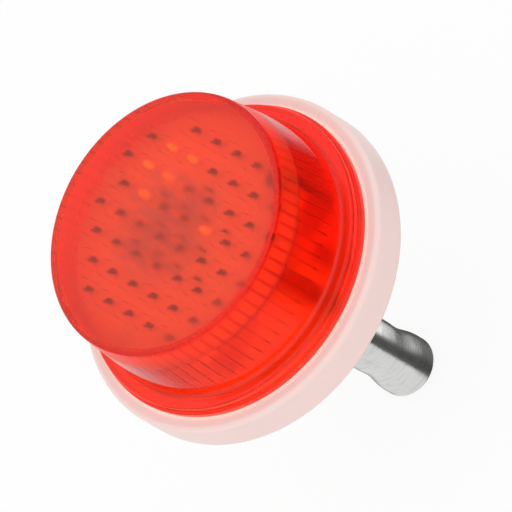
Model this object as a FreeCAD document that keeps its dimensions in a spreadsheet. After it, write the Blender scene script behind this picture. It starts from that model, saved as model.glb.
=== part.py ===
import FreeCAD, Part
import math
import os
import Sketcher

# A round LED warning flare on a metal stem.
#
# Row frame: +Z runs along the stem towards the lens, and the origin is the centre of the stem's free end.
# From the bottom up: stem, seal, round base, and the drum lens that twists off the base. Inside the base and
# lens are the stem's nut, a tray of four cells, the LED board on three standoffs, and a push switch that is
# pressed from the base's back face. All sizes are in millimetres and degrees.

SIZES = (
    ("stem_length", 77.0, "stem's free end to the base's back face"),
    ("stem_end_radius", 9.0, "bulb at the free end"),
    ("stem_end_land", 6.0, "height at which the bulb starts to narrow"),
    ("stem_end_round", 1.8, "rounding of the free end"),
    ("waist_radius", 7.7, "narrowest place above the bulb"),
    ("waist_height", 13.0, "height of the narrowest place"),
    ("waist_blend", 6.0, "rounding of the waist and its two shoulders"),
    ("shank_start", 19.0, "height at which the straight shank starts"),
    ("shank_radius", 8.0, "straight shank"),
    ("collar_radius", 12.0, "collar that bears on the seal"),
    ("collar_height", 4.0, "collar"),
    ("stud_radius", 5.0, "threaded end inside the base"),
    ("stud_fit", 0.15, "gap round the stud in the base"),
    ("stud_tail", 0.6, "stud standing proud of its nut"),
    ("seal_radius", 11.6, "rubber washer under the base"),
    ("seal_thickness", 1.5, "rubber washer under the base"),
    ("backing_radius", 12.6, "steel washer on the boss"),
    ("backing_thickness", 1.6, "steel washer on the boss"),
    ("lock_radius", 8.6, "split washer"),
    ("lock_thickness", 2.2, "split washer"),
    ("lock_split", 1.2, "slot of the split washer"),
    ("nut_flats", 16.0, "nut across its flats"),
    ("nut_height", 5.0, "nut"),
    ("washer_fit", 0.2, "gap round the stud in the washers"),
    ("thread_fit", 0.05, "gap that stands for an engaged thread"),
    ("flange_margin", 4.3, "base outside the lens ring"),
    ("flange_height", 12.0, "base"),
    ("flange_round", 1.6, "rounding of the base's two outer edges"),
    ("floor_thickness", 2.6, "base's floor"),
    ("boss_radius", 14.0, "raised pad under the stem's nut"),
    ("boss_height", 1.4, "raised pad under the stem's nut"),
    ("track_wall", 1.9, "wall outside the twist-lock tracks"),
    ("rim_wall", 2.6, "base's outermost wall"),
    ("core_depth", 9.0, "coring pockets in the base's back"),
    ("core_count", 24, "coring pockets"),
    ("core_rib", 1.4, "rib between two coring pockets, in degrees"),
    ("drum_base_radius", 41.0, "lens drum where it meets its ring"),
    ("drum_top_radius", 38.6, "lens drum at its face"),
    ("lens_height", 32.0, "lens, from the base's front to the face"),
    ("lens_wall", 2.2, "lens drum's wall"),
    ("face_thickness", 2.0, "lens face"),
    ("face_round", 1.6, "rounding of the face's edge"),
    ("ring_width", 4.7, "lens ring's lower step, out from the drum"),
    ("ring_step", 0.8, "how far the upper step is set in"),
    ("ring_step_height", 2.2, "lens ring's lower step"),
    ("ring_height", 5.2, "lens ring"),
    ("ring_round", 1.0, "rounding of the ring's top edge"),
    ("corner_round", 1.2, "fillet between the ring and the drum"),
    ("skirt_depth", 6.0, "lens skirt inside the base"),
    ("skirt_fit", 0.3, "gap round the skirt"),
    ("lug_count", 3, "twist-lock lugs"),
    ("lug_angle", 12.0, "one lug"),
    ("lug_reach", 1.4, "how far a lug stands out of the skirt"),
    ("lug_drop", 3.8, "lug's top below the base's front"),
    ("lug_height", 1.6, "lug"),
    ("lug_fit", 0.3, "gap above, below and outside a lug"),
    ("lug_end_fit", 0.5, "gap at each end of a lug's travel, in degrees"),
    ("lock_turn", 20.0, "turn from locked to free"),
    ("flute_count", 72, "flutes inside the drum"),
    ("flute_width", 1.1, "flute"),
    ("flute_depth", 0.5, "flute"),
    ("flute_start", 4.8, "plain band between the ring and the flutes"),
    ("gasket_edge", 0.8, "base left on each side of the gasket"),
    ("gasket_thickness", 1.0, "flat gasket under the lens ring"),
    ("gasket_fit", 0.05, "gap round and above the gasket"),
    ("led_pitch", 8.7, "LED to LED"),
    ("led_radius", 2.5, "LED body"),
    ("led_height", 8.7, "LED"),
    ("led_foot_radius", 2.9, "LED's foot ring"),
    ("led_foot_height", 1.0, "LED's foot ring"),
    ("led_gap", 0.4, "LED tips to the inside of the face"),
    ("led_turn", 24.0, "LED's two legs, turned from the Y direction"),
    ("led_edge", 0.1, "LED's foot ring inside the board's edge"),
    ("led_clearance", 0.3, "LED's foot ring to a screw head or a wire"),
    ("leg_pitch", 2.54, "two legs of one LED"),
    ("leg_side", 0.5, "square LED leg"),
    ("leg_hole_radius", 0.45, "hole for a leg"),
    ("leg_tail", 1.2, "leg standing out under the board"),
    ("lead_frame_foot", 2.0, "widened ends of the legs inside the LED, above the board"),
    ("anvil_height", 2.8, "wider end, which carries the LED's chip"),
    ("anvil_width", 1.8, "wider end"),
    ("anvil_depth", 1.3, "wider end"),
    ("post_height", 3.2, "narrower end"),
    ("post_width", 1.0, "narrower end"),
    ("post_depth", 0.9, "narrower end"),
    ("board_gap", 0.4, "LED board's edge inside the drum's narrowest place"),
    ("board_thickness", 1.6, "LED board"),
    ("notch_gap", 1.0, "board notch round the wires"),
    ("chip_length", 3.2, "surface-mount resistor"),
    ("chip_width", 1.6, "surface-mount resistor"),
    ("chip_height", 0.6, "surface-mount resistor"),
    ("sot_length", 2.9, "surface-mount transistor"),
    ("sot_width", 1.7, "surface-mount transistor"),
    ("sot_height", 1.1, "surface-mount transistor"),
    ("driver_length", 5.0, "LED driver chip"),
    ("driver_width", 4.0, "LED driver chip"),
    ("driver_height", 1.5, "LED driver chip"),
    ("standoff_inset", 3.2, "standoffs from the board's edge"),
    ("standoff_turn", 83.4, "second and third standoff from the +X side"),
    ("standoff_flats", 5.5, "hexagonal standoff"),
    ("screw_radius", 1.5, "M3 screw"),
    ("screw_length", 8.0, "M3 screw"),
    ("screw_head_radius", 2.8, "M3 screw"),
    ("screw_head_height", 1.9, "M3 screw"),
    ("screw_fit", 0.2, "gap round a screw in a plain hole"),
    ("screw_depth", 7.4, "tapped hole"),
    ("sink_radius", 3.3, "counterbore in the base's back"),
    ("sink_depth", 2.6, "counterbore in the base's back"),
    ("sink_boss_radius", 4.6, "boss over a counterbore"),
    ("sink_boss_height", 3.0, "boss over a counterbore"),
    ("cell_count", 4, "AAA cells"),
    ("cell_radius", 5.25, "AAA cell"),
    ("cell_length", 43.3, "AAA cell without its button"),
    ("cell_round", 0.7, "cell's edges"),
    ("cell_nib_radius", 1.9, "cell's positive button"),
    ("cell_nib_height", 1.2, "cell's positive button"),
    ("bay_fit", 0.2, "gap under and beside a cell"),
    ("bay_rib", 0.6, "rib between two cells"),
    ("tray_wall", 1.6, "battery tray"),
    ("tray_floor", 1.2, "battery tray"),
    ("tray_height", 11.8, "battery tray"),
    ("tray_gap", 0.8, "tray above the stem's stud"),
    ("ear_radius", 3.2, "tray's screw ears and legs"),
    ("ear_side", 14.0, "tray's ears, from the centre line"),
    ("ear_proud", 2.6, "tray's ears, outside its long walls"),
    ("ear_height", 4.0, "tray's ears"),
    ("contact_room", 1.8, "room for a contact at each end of a cell"),
    ("contact_thickness", 0.4, "contact strip"),
    ("contact_side", 8.0, "contact plate"),
    ("contact_lift", 1.2, "contact plate above the tray's floor"),
    ("contact_gap", 0.1, "contact to cell"),
    ("dimple_radius", 1.6, "positive contact's dimple"),
    ("leaf_width", 5.0, "negative contact's leaf"),
    ("pad_length", 40.0, "foam pad over the cells"),
    ("pad_width", 42.0, "foam pad over the cells"),
    ("pad_thickness", 3.0, "foam pad over the cells"),
    ("pad_gap", 0.1, "foam pad above the cells"),
    ("switch_reach", 26.0, "switch from the axis"),
    ("dish_radius", 7.5, "dish round the push button"),
    ("dish_depth", 1.4, "dish round the push button"),
    ("button_radius", 3.8, "push button"),
    ("button_fit", 0.3, "gap round the push button"),
    ("button_tip", 0.4, "push button's end inside the back face"),
    ("button_round", 0.8, "push button's edge"),
    ("button_lip", 1.2, "push button's lip outside its hole"),
    ("button_lip_height", 1.0, "push button's lip"),
    ("button_rest", 0.1, "lip above the base's floor at rest"),
    ("plunger_radius", 1.75, "switch plunger"),
    ("plunger_entry", 1.6, "plunger inside the switch at rest"),
    ("plunger_fit", 0.1, "gap round the plunger"),
    ("press_room", 1.6, "button's lip to the switch at rest"),
    ("switch_side", 6.0, "switch body"),
    ("switch_height", 3.5, "switch body"),
    ("switch_well", 3.0, "depth of the plunger's hole"),
    ("card_width", 12.0, "switch board"),
    ("card_length", 20.6, "switch board"),
    ("card_thickness", 1.2, "switch board"),
    ("post_side", 7.8, "switch board's posts, off the centre line"),
    ("post_radius", 2.4, "switch board's posts"),
    ("card_screw_radius", 1.0, "M2 screw"),
    ("card_screw_length", 5.0, "M2 screw"),
    ("card_screw_head_radius", 1.9, "M2 screw"),
    ("card_screw_head_height", 1.3, "M2 screw"),
    ("cross_width", 0.6, "cross recess"),
    ("lead_radius", 0.7, "insulated wire"),
    ("lead_bend", 1.4, "wire's bend, at its centre line"),
    ("lead_gap", 1.75, "wires from the tray's end wall"),
    ("lead_side", 3.3, "middle of the wires, inside the tray's long wall"),
    ("lead_spread", 4.4, "two wires in the board's notch"),
    ("lead_rise", 2.6, "wires over the board"),
    ("lead_inset", 3.4, "wire's pad from its run through the notch"),
    ("lead_exit", 8.0, "wires out of the tray, above its bottom"),
    ("card_pad", 3.6, "wire's pad on the switch board, off its middle"),
    ("card_loop", 3.2, "wire's loop above the switch board"),
)

# Places of the small parts beside each row of LEDs, in LED pitches from the centre line. Row 0 is the first
# on the +X side of the axis.
RESISTORS = {-2: (-1.5, -0.5, 0.5, 1.5), 0: (-1.5, -0.5, 0.5, 1.5)}
TRANSISTORS = {-1: (-1, 0, 1), 1: (0,)}

# Heights of the seats, each worked out from the pieces below it, and the LED board's from the face above it
SEAT = "dims.stem_length"
FLOOR = SEAT + " + dims.floor_thickness"
BOSS = FLOOR + " + dims.boss_height"
BACKING_TOP = BOSS + " + dims.backing_thickness"
LOCK_TOP = BACKING_TOP + " + dims.lock_thickness"
TRAY_HEAP = ("dims.boss_height + dims.backing_thickness + dims.lock_thickness + dims.nut_height"
             " + dims.stud_tail + dims.tray_gap")
TRAY_SEAT = f"{FLOOR} + {TRAY_HEAP}"
FRONT = SEAT + " + dims.flange_height"
PAD_HEAP = f"{TRAY_HEAP} + dims.tray_floor + dims.bay_fit + 2 * dims.cell_radius + dims.pad_gap"
BOARD_FOOT_HEAP = ("dims.flange_height - dims.floor_thickness + dims.lens_height - dims.face_thickness"
                   " - dims.led_gap - dims.led_height - dims.board_thickness")
BOARD_FOOT = f"{FLOOR} + {BOARD_FOOT_HEAP}"
BOARD_TOP = f"{BOARD_FOOT} + dims.board_thickness"
SINK_TOP = "dims.floor_thickness + dims.sink_boss_height"
BUTTON_LIP = "dims.floor_thickness + dims.button_rest"
SWITCH_FOOT = f"{BUTTON_LIP} + dims.button_lip_height + dims.press_room"
CARD_FOOT = f"{SWITCH_FOOT} + dims.switch_height"

# Shared sizes across the axis, of the battery tray and then of the lens and what follows it
BAY_WIDTH = "2 * (dims.cell_radius + dims.bay_fit)"
BAY_PITCH = f"({BAY_WIDTH} + dims.bay_rib)"
TRAY_HALF_WIDTH = f"(dims.cell_count * {BAY_PITCH} - dims.bay_rib) / 2 + dims.tray_wall"
BAY_HALF_LENGTH = "(dims.cell_length + dims.cell_nib_height) / 2 + dims.contact_room"
TRAY_HALF_LENGTH = f"{BAY_HALF_LENGTH} + dims.tray_wall"
EAR_Y = f"{TRAY_HALF_WIDTH} + dims.ear_proud"
DRUM_BASE = "dims.drum_base_radius"
DRUM_TOP = "dims.drum_top_radius"
LENS_INSIDE = f"{DRUM_BASE} - dims.lens_wall"
DRUM_INSIDE = f"{DRUM_TOP} - dims.lens_wall"
RING = f"{DRUM_BASE} + dims.ring_width"
FLANGE = f"{RING} + dims.flange_margin"
SOCKET = f"{DRUM_BASE} + dims.skirt_fit"
TRACK = f"{DRUM_BASE} + dims.lug_reach + dims.lug_fit"
GASKET_IN = f"{TRACK} + dims.gasket_edge"
GASKET_OUT = f"{RING} - dims.gasket_edge / 2"
CORE_IN = f"{TRACK} + dims.track_wall"
CORE_OUT = f"{FLANGE} - dims.rim_wall"
BOARD_RADIUS = f"{DRUM_INSIDE} - dims.board_gap"
LEAD_X = f"{TRAY_HALF_LENGTH} + dims.lead_gap"
LEAD_Y = f"-({TRAY_HALF_WIDTH} - dims.lead_side)"
LEAD_PAD_X = f"{LEAD_X} - dims.lead_inset"
LEAD_SIDE = "(dims.lead_spread / 2 + dims.lead_radius + dims.notch_gap)"
SCREW_HOLE = "dims.screw_radius + dims.screw_fit"
TAPPED = "dims.screw_radius + dims.thread_fit"

Vector = FreeCAD.Vector
UP = Vector(0, 0, 1)
CUT_MARGIN = 1.0                            # how far a cutting tool runs past the face it opens

doc = FreeCAD.newDocument("LedFlare")
dims = doc.addObject("Spreadsheet::Sheet", "dims")
for row, (alias, value, meaning) in enumerate(SIZES, 1):
    dims.set(f"A{row}", meaning)
    dims.set(f"B{row}", str(value))
    dims.setAlias(f"B{row}", alias)
doc.recompute()

nodes = []


def number(expression):
    """Value of an expression on the sheet."""
    return float(dims.evalExpression(expression))


def keep(made, label):
    """Names a finished sub-part and lists it for export."""
    made.Label = label
    nodes.append(made)
    return made


def place(made, x="0", y="0", z="0"):
    """Binds an object's position to three expressions."""
    for axis, expression in zip("xyz", (x, y, z)):
        made.setExpression(f"Placement.Base.{axis}", expression)
    return made


# --- bodies, sketches and features -------------------------------------------------------------------------

def new_body(name):
    return doc.addObject("PartDesign::Body", name)


def origin_feature(body, role):
    return next(feature for feature in body.Origin.OriginFeatures if feature.Role == role)


def new_sketch(body, plane="XY_Plane", lift="0", turn="0"):
    """Sketch on one of the body's own planes: lifted off the XY plane, or turned about Z from the XZ."""
    sketch = body.newObject("Sketcher::SketchObject", "Sketch")
    sketch.AttachmentSupport = [(origin_feature(body, plane), "")]
    sketch.MapMode = "FlatFace"
    if plane == "XY_Plane":
        sketch.setExpression("AttachmentOffset.Base.z", lift)
    elif turn != "0":
        sketch.AttachmentOffset = FreeCAD.Placement(Vector(), FreeCAD.Rotation(Vector(0, 1, 0), 1))
        sketch.setExpression("AttachmentOffset.Rotation.Angle", turn)
    return sketch


def fix_point(sketch, geometry, point, start, x, y):
    """Holds a point of the sketch at x and y, two expressions."""
    for kind, begin, expression in (("DistanceX", start.x, x), ("DistanceY", start.y, y)):
        index = sketch.addConstraint(Sketcher.Constraint(kind, -1, 1, geometry, point, begin))
        sketch.setExpression(f"Constraints[{index}]", expression)


def draw_outline(sketch, corners):
    """Closed outline of straight lines through corners, each a pair of expressions."""
    count = len(corners)
    first = sketch.GeometryCount
    starts = [Vector(math.cos(math.tau * i / count), math.sin(math.tau * i / count), 0) for i in range(count)]
    sketch.addGeometry([Part.LineSegment(starts[i], starts[(i + 1) % count]) for i in range(count)])
    for i, corner in enumerate(corners):
        sketch.addConstraint(Sketcher.Constraint("Coincident", first + i, 2, first + (i + 1) % count, 1))
    for i, corner in enumerate(corners):
        fix_point(sketch, first + i, 1, starts[i], *corner)
    return sketch


def draw_circles(sketch, circles):
    """Circles, each an x, y and radius as expressions."""
    start = Vector(1, 1, 0)
    for x, y, radius in circles:
        index = sketch.addGeometry(Part.Circle(start, UP, 1))
        fix_point(sketch, index, 3, start, x, y)
        rule = sketch.addConstraint(Sketcher.Constraint("Radius", index, 1))
        sketch.setExpression(f"Constraints[{rule}]", radius)
    return sketch


def box_corners(low_x, high_x, low_y, high_y):
    return ((low_x, low_y), (high_x, low_y), (high_x, high_y), (low_x, high_y))


def volume_after(body):
    doc.recompute()
    return body.Shape.Volume


def sweep_round(body, sketch, angle="360", cuts=False):
    """Revolves a sketch about its own vertical axis, evenly to both sides of its plane."""
    before = volume_after(body) if cuts else 0
    turned = body.newObject("PartDesign::Groove" if cuts else "PartDesign::Revolution", "Turned")
    turned.Profile = sketch
    turned.ReferenceAxis = (sketch, ["V_Axis"])
    turned.Midplane = angle != "360"
    turned.setExpression("Angle", angle)
    if cuts and volume_after(body) >= before:
        raise RuntimeError(f"{sketch.Name} cuts nothing from {body.Name}")
    return turned


def push(body, sketch, length, cuts=False, down=False, both=False):
    """Pads a sketch, or cuts it as a pocket, by a length: up, down or evenly to both sides."""
    before = volume_after(body) if cuts else 0
    made = body.newObject("PartDesign::Pocket" if cuts else "PartDesign::Pad", "Pushed")
    made.Profile = sketch
    made.SideType = "Symmetric" if both else "One side"
    made.Reversed = cuts != down
    made.setExpression("Length", length)
    if cuts and volume_after(body) >= before:
        raise RuntimeError(f"{sketch.Name} cuts nothing from {body.Name}")
    return made


def repeat_round(body, feature, count):
    """Repeats a feature evenly about the body's Z axis."""
    pattern = body.newObject("PartDesign::PolarPattern", "Repeat")
    pattern.Originals = [feature]
    pattern.Axis = (origin_feature(body, "Z_Axis"), [""])
    pattern.Angle = 360
    pattern.setExpression("Occurrences", count)
    body.Tip = pattern
    doc.recompute()
    return pattern


def round_rims(body, rims, radius):
    """Fillets circular edges, each given by its radius and height as expressions."""
    doc.recompute()
    base = body.Tip
    rims = spots_of(rims)
    names = []
    for number, edge in enumerate(base.Shape.Edges, 1):
        if not isinstance(edge.Curve, Part.Circle):
            continue
        for rim_radius, height in rims:
            if abs(edge.Curve.Radius - rim_radius) < 0.001 and abs(edge.Curve.Center.z - height) < 0.001:
                names.append(f"Edge{number}")
    if len(names) < len(rims):
        raise RuntimeError(f"{body.Name} has no edge to round at one of {rims}")
    fillet = body.newObject("PartDesign::Fillet", "Rounded")
    fillet.Base = (base, names)
    fillet.setExpression("Radius", radius)
    body.Tip = fillet
    return fillet


# --- plain solids and their combinations -------------------------------------------------------------------

def cylinder(name, radius, height, x="0", y="0", z="0"):
    made = doc.addObject("Part::Cylinder", name)
    made.setExpression("Radius", radius)
    made.setExpression("Height", height)
    return place(made, x, y, z)


def box(name, length, width, height, x="0", y="0", z="0"):
    """Box whose underside is centred on x, y at height z."""
    made = doc.addObject("Part::Box", name)
    for side, expression in (("Length", length), ("Width", width), ("Height", height)):
        made.setExpression(side, expression)
    return place(made, f"{x} - ({length}) / 2", f"{y} - ({width}) / 2", z)


def cut(name, base, tool):
    made = doc.addObject("Part::Cut", name)
    made.Base = base
    made.Tool = tool
    return made


def join(name, pieces):
    made = doc.addObject("Part::MultiFuse", name)
    made.Shapes = pieces
    return made


def washer(name, outer, inner, height, z):
    """Flat ring between two radii."""
    ring = cylinder(name + "_disc", outer, height, z=z)
    hole = cylinder(name + "_hole", inner, height, z=z)
    return cut(name, ring, hole)


def scatter(name, piece, spots):
    """One node of separate solids: copies of a piece, each moved by a placement."""
    doc.recompute()
    made = doc.addObject("Part::Feature", name)
    copies = []
    for spot in spots:
        solid = piece.Shape.copy()
        solid.Placement = spot.multiply(solid.Placement)
        copies.append(solid)
    made.Shape = Part.makeCompound(copies)
    return made


def shifted(x, y, z=0.0, turn=0.0):
    return FreeCAD.Placement(Vector(x, y, z), FreeCAD.Rotation(UP, turn))


# --- places that several pieces share ----------------------------------------------------------------------

def lattice(row, place):
    """Point of the LEDs' triangular lattice: rows along Y, a half row to each side of the axis."""
    pitch = number("dims.led_pitch")
    return (row + 0.5) * pitch * math.sqrt(3) / 2, place * pitch


def led_spots():
    """Lattice points where an LED clears the board's edge, the heads of its screws, and the wires' corner."""
    reach = number(f"{BOARD_RADIUS} - dims.led_foot_radius - dims.led_edge")
    clear = number("dims.led_foot_radius + dims.led_clearance")
    screw_clear = clear + number("dims.screw_head_radius")
    screws = spots_of(STANDOFFS)
    corner = number(f"{LEAD_PAD_X} - dims.lead_radius"), number(f"{LEAD_Y} + {LEAD_SIDE}")
    corner_foot = number(f"{LEAD_Y} - {LEAD_SIDE}")
    count = math.ceil(reach / number("dims.led_pitch")) + 2
    spots = []
    for row in range(-count, count):
        for step in range(-count, count + 1):
            x, y = lattice(row, step + (row % 2) / 2)
            beside = max(corner[0] - x, y - corner[1], corner_foot - y)
            if (math.hypot(x, y) <= reach and beside >= clear
                    and all(math.dist((x, y), screw) >= screw_clear for screw in screws)):
                spots.append((x, y))
    return spots


def gap_spots(rows):
    """Middles of the triangles of LEDs on the +X side of the given rows."""
    third = number("dims.led_pitch * sqrt(3) / 6")
    return [(lattice(row, place)[0] + third, lattice(row, place)[1])
            for row, places in rows.items() for place in places]


def spots_of(places):
    """Numbers for places given as pairs of expressions."""
    return [(number(x), number(y)) for x, y in places]


STANDOFF_REACH = f"({BOARD_RADIUS} - dims.standoff_inset)"
STANDOFF_X = f"{STANDOFF_REACH} * cos(dims.standoff_turn)"
STANDOFF_Y = f"{STANDOFF_REACH} * sin(dims.standoff_turn)"
STANDOFFS = ((f"-{STANDOFF_REACH}", "0"), (STANDOFF_X, STANDOFF_Y), (STANDOFF_X, f"-{STANDOFF_Y}"))
EARS = (("-dims.ear_side", EAR_Y), ("dims.ear_side", f"-({EAR_Y})"))
POSTS = (("dims.switch_reach", "dims.post_side"), ("dims.switch_reach", "-dims.post_side"))


# --- stem and its fastening --------------------------------------------------------------------------------

def make_stem():
    """Turned stem: rounded bulb, waist, straight shank, collar, and the stud that goes through the base."""
    body = new_body("Stem")
    collar_top = f"{SEAT} - dims.seal_thickness"
    collar_foot = f"{collar_top} - dims.collar_height"
    tail = f"{LOCK_TOP} + dims.nut_height + dims.stud_tail"
    profile = draw_outline(new_sketch(body, "XZ_Plane"), (
        ("0", "0"), ("dims.stem_end_radius", "0"), ("dims.stem_end_radius", "dims.stem_end_land"),
        ("dims.waist_radius", "dims.waist_height"), ("dims.shank_radius", "dims.shank_start"),
        ("dims.shank_radius", collar_foot), ("dims.collar_radius", collar_foot),
        ("dims.collar_radius", collar_top), ("dims.stud_radius", collar_top), ("dims.stud_radius", tail),
        ("0", tail)))
    sweep_round(body, profile)
    shoulders = (("dims.stem_end_radius", "dims.stem_end_land"), ("dims.waist_radius", "dims.waist_height"),
                 ("dims.shank_radius", "dims.shank_start"))
    round_rims(body, shoulders, "dims.waist_blend")
    round_rims(body, (("dims.stem_end_radius", "0"),), "dims.stem_end_round")
    return keep(body, "mount_stem")


def make_fastening():
    """Rubber seal under the base; backing washer, split washer and nut on the boss inside it."""
    hole = "dims.stud_radius + dims.washer_fit"
    keep(washer("Seal", "dims.seal_radius", hole, "dims.seal_thickness", f"{SEAT} - dims.seal_thickness"),
         "stem_seal")
    keep(washer("Backing", "dims.backing_radius", hole, "dims.backing_thickness", BOSS), "backing_washer")
    ring = washer("Lock", "dims.lock_radius", hole, "dims.lock_thickness", BACKING_TOP)
    slot = box("LockSlot", "dims.lock_radius", "dims.lock_split", "dims.lock_thickness",
               x="dims.lock_radius", z=BACKING_TOP)
    slot.setExpression("Placement.Base.x", "dims.stud_radius / 2")
    keep(cut("SplitWasher", ring, slot), "lock_washer")
    blank = doc.addObject("Part::Prism", "NutBlank")
    blank.Polygon = 6
    blank.setExpression("Circumradius", "dims.nut_flats / 2 / cos(30)")
    blank.setExpression("Height", "dims.nut_height")
    place(blank, z=LOCK_TOP)
    bore = cylinder("NutBore", "dims.stud_radius + dims.thread_fit", "dims.nut_height", z=LOCK_TOP)
    keep(cut("Nut", blank, bore), "stem_nut")


# --- base --------------------------------------------------------------------------------------------------

def make_housing():
    """Round base: floor, socket for the lens skirt with its twist-lock tracks, cored rim, bosses and dish."""
    body = new_body("Housing")
    top = "dims.flange_height"
    floor = "dims.floor_thickness"
    boss = "dims.floor_thickness + dims.boss_height"
    hole = "dims.stud_radius + dims.stud_fit"
    shell = draw_outline(new_sketch(body, "XZ_Plane"), (
        (hole, "0"), (FLANGE, "0"), (FLANGE, top), (SOCKET, top),
        (SOCKET, floor), ("dims.boss_radius", floor), ("dims.boss_radius", boss), (hole, boss)))
    sweep_round(body, shell)
    bosses = draw_circles(new_sketch(body, lift=floor),
                          [(x, y, "dims.sink_boss_radius") for x, y in STANDOFFS + EARS])
    push(body, bosses, "dims.sink_boss_height")
    posts = draw_circles(new_sketch(body, lift=floor), [(x, y, "dims.post_radius") for x, y in POSTS])
    push(body, posts, f"{CARD_FOOT} - dims.floor_thickness")
    round_rims(body, ((FLANGE, "0"), (FLANGE, top)), "dims.flange_round")

    gasket = draw_outline(new_sketch(body, "XZ_Plane"), box_corners(
        GASKET_IN, GASKET_OUT, f"{top} - dims.gasket_thickness", f"{top} + {CUT_MARGIN}"))
    sweep_round(body, gasket, cuts=True)
    holes = [(x, y, SCREW_HOLE) for x, y in STANDOFFS + EARS]
    push(body, draw_circles(new_sketch(body), holes), SINK_TOP, cuts=True)
    sinks = [(x, y, "dims.sink_radius") for x, y in STANDOFFS + EARS]
    push(body, draw_circles(new_sketch(body), sinks), "dims.sink_depth", cuts=True)
    pilots = [(x, y, "dims.card_screw_radius + dims.thread_fit") for x, y in POSTS]
    push(body, draw_circles(new_sketch(body, lift=CARD_FOOT), pilots), "dims.card_screw_length",
         cuts=True, down=True)
    dish = draw_circles(new_sketch(body), [("dims.switch_reach", "0", "dims.dish_radius")])
    push(body, dish, "dims.dish_depth", cuts=True)
    button = draw_circles(new_sketch(body),
                          [("dims.switch_reach", "0", "dims.button_radius + dims.button_fit")])
    push(body, button, floor, cuts=True)

    track_low = f"{top} - dims.lug_drop - dims.lug_height - dims.lug_fit"
    track_high = f"{top} - dims.lug_drop + dims.lug_fit"
    inside = f"{SOCKET} - {CUT_MARGIN}"
    entry = draw_outline(new_sketch(body, "XZ_Plane", turn="dims.lock_turn"),
                         box_corners(inside, TRACK, track_low, f"{top} + {CUT_MARGIN}"))
    repeat_round(body, sweep_round(body, entry, "dims.lug_angle + 2 * dims.lug_end_fit", cuts=True),
                 "dims.lug_count")
    track = draw_outline(new_sketch(body, "XZ_Plane", turn="dims.lock_turn / 2"),
                         box_corners(inside, TRACK, track_low, track_high))
    travel = "dims.lug_angle + dims.lock_turn + 2 * dims.lug_end_fit"
    repeat_round(body, sweep_round(body, track, travel, cuts=True), "dims.lug_count")
    core = draw_outline(new_sketch(body, "XZ_Plane"),
                        box_corners(CORE_IN, CORE_OUT, f"-{CUT_MARGIN}", "dims.core_depth"))
    repeat_round(body, sweep_round(body, core, "360 / dims.core_count - dims.core_rib", cuts=True),
                 "dims.core_count")
    place(body, z=SEAT)
    return keep(body, "base_housing")


def make_gasket():
    """Flat gasket in the recess under the lens ring."""
    ring = washer("Gasket", f"{GASKET_OUT} - dims.gasket_fit", f"{GASKET_IN} + dims.gasket_fit",
                  "dims.gasket_thickness - dims.gasket_fit", f"{FRONT} - dims.gasket_thickness")
    return keep(ring, "lens_gasket")


# --- lens --------------------------------------------------------------------------------------------------

def make_lens():
    """Drum lens: flat face, drafted wall fluted inside, stepped ring, and a skirt with twist-lock lugs."""
    body = new_body("Lens")
    face = "dims.lens_height"
    roof = f"{face} - dims.face_thickness"
    ring_top = "dims.ring_height"
    ring_in = f"{RING} - dims.ring_step"
    profile = draw_outline(new_sketch(body, "XZ_Plane"), (
        (LENS_INSIDE, "-dims.skirt_depth"), (DRUM_BASE, "-dims.skirt_depth"), (DRUM_BASE, "0"), (RING, "0"),
        (RING, "dims.ring_step_height"), (ring_in, "dims.ring_step_height"), (ring_in, ring_top),
        (DRUM_BASE, ring_top), (DRUM_TOP, face), ("0", face), ("0", roof), (DRUM_INSIDE, roof),
        (LENS_INSIDE, ring_top)))
    sweep_round(body, profile)
    round_rims(body, ((DRUM_TOP, face),), "dims.face_round")
    round_rims(body, ((ring_in, ring_top),), "dims.ring_round")
    round_rims(body, ((DRUM_BASE, ring_top),), "dims.corner_round")

    lug = draw_outline(new_sketch(body, "XZ_Plane"), box_corners(
        LENS_INSIDE, f"{DRUM_BASE} + dims.lug_reach", "-dims.lug_drop - dims.lug_height", "-dims.lug_drop"))
    repeat_round(body, sweep_round(body, lug, "dims.lug_angle"), "dims.lug_count")

    # A flute follows the drafted inner wall: the wall's radius at a height, by its slope
    low = f"{ring_top} + dims.flute_start"
    low_radius = f"{LENS_INSIDE} - ({DRUM_BASE} - {DRUM_TOP}) * dims.flute_start / ({roof} - {ring_top})"
    flute = draw_outline(new_sketch(body, "XZ_Plane"), (
        (f"{low_radius} - dims.flute_depth", low), (f"{low_radius} + dims.flute_depth", low),
        (f"{DRUM_INSIDE} + dims.flute_depth", roof), (f"{DRUM_INSIDE} - dims.flute_depth", roof)))
    repeat_round(body, push(body, flute, "dims.flute_width", cuts=True, both=True), "dims.flute_count")
    place(body, z=FRONT)
    return keep(body, "lens_cover")


# --- screws and standoffs ----------------------------------------------------------------------------------

def make_screw(name, radius, length, head_radius, head_height):
    """Pan-head screw with a cross recess: head below z = 0 and shank above it."""
    shank = cylinder(name + "Shank", radius, length)
    head = cylinder(name + "Head", head_radius, head_height, z=f"-({head_height})")
    blank = join(name + "Blank", [shank, head])
    depth = f"({head_height}) / 2"
    slots = [box(name + "SlotX", head_radius, "dims.cross_width", depth, z=f"-({head_height})"),
             box(name + "SlotY", "dims.cross_width", head_radius, depth, z=f"-({head_height})")]
    return cut(name, blank, join(name + "Cross", slots))


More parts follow.
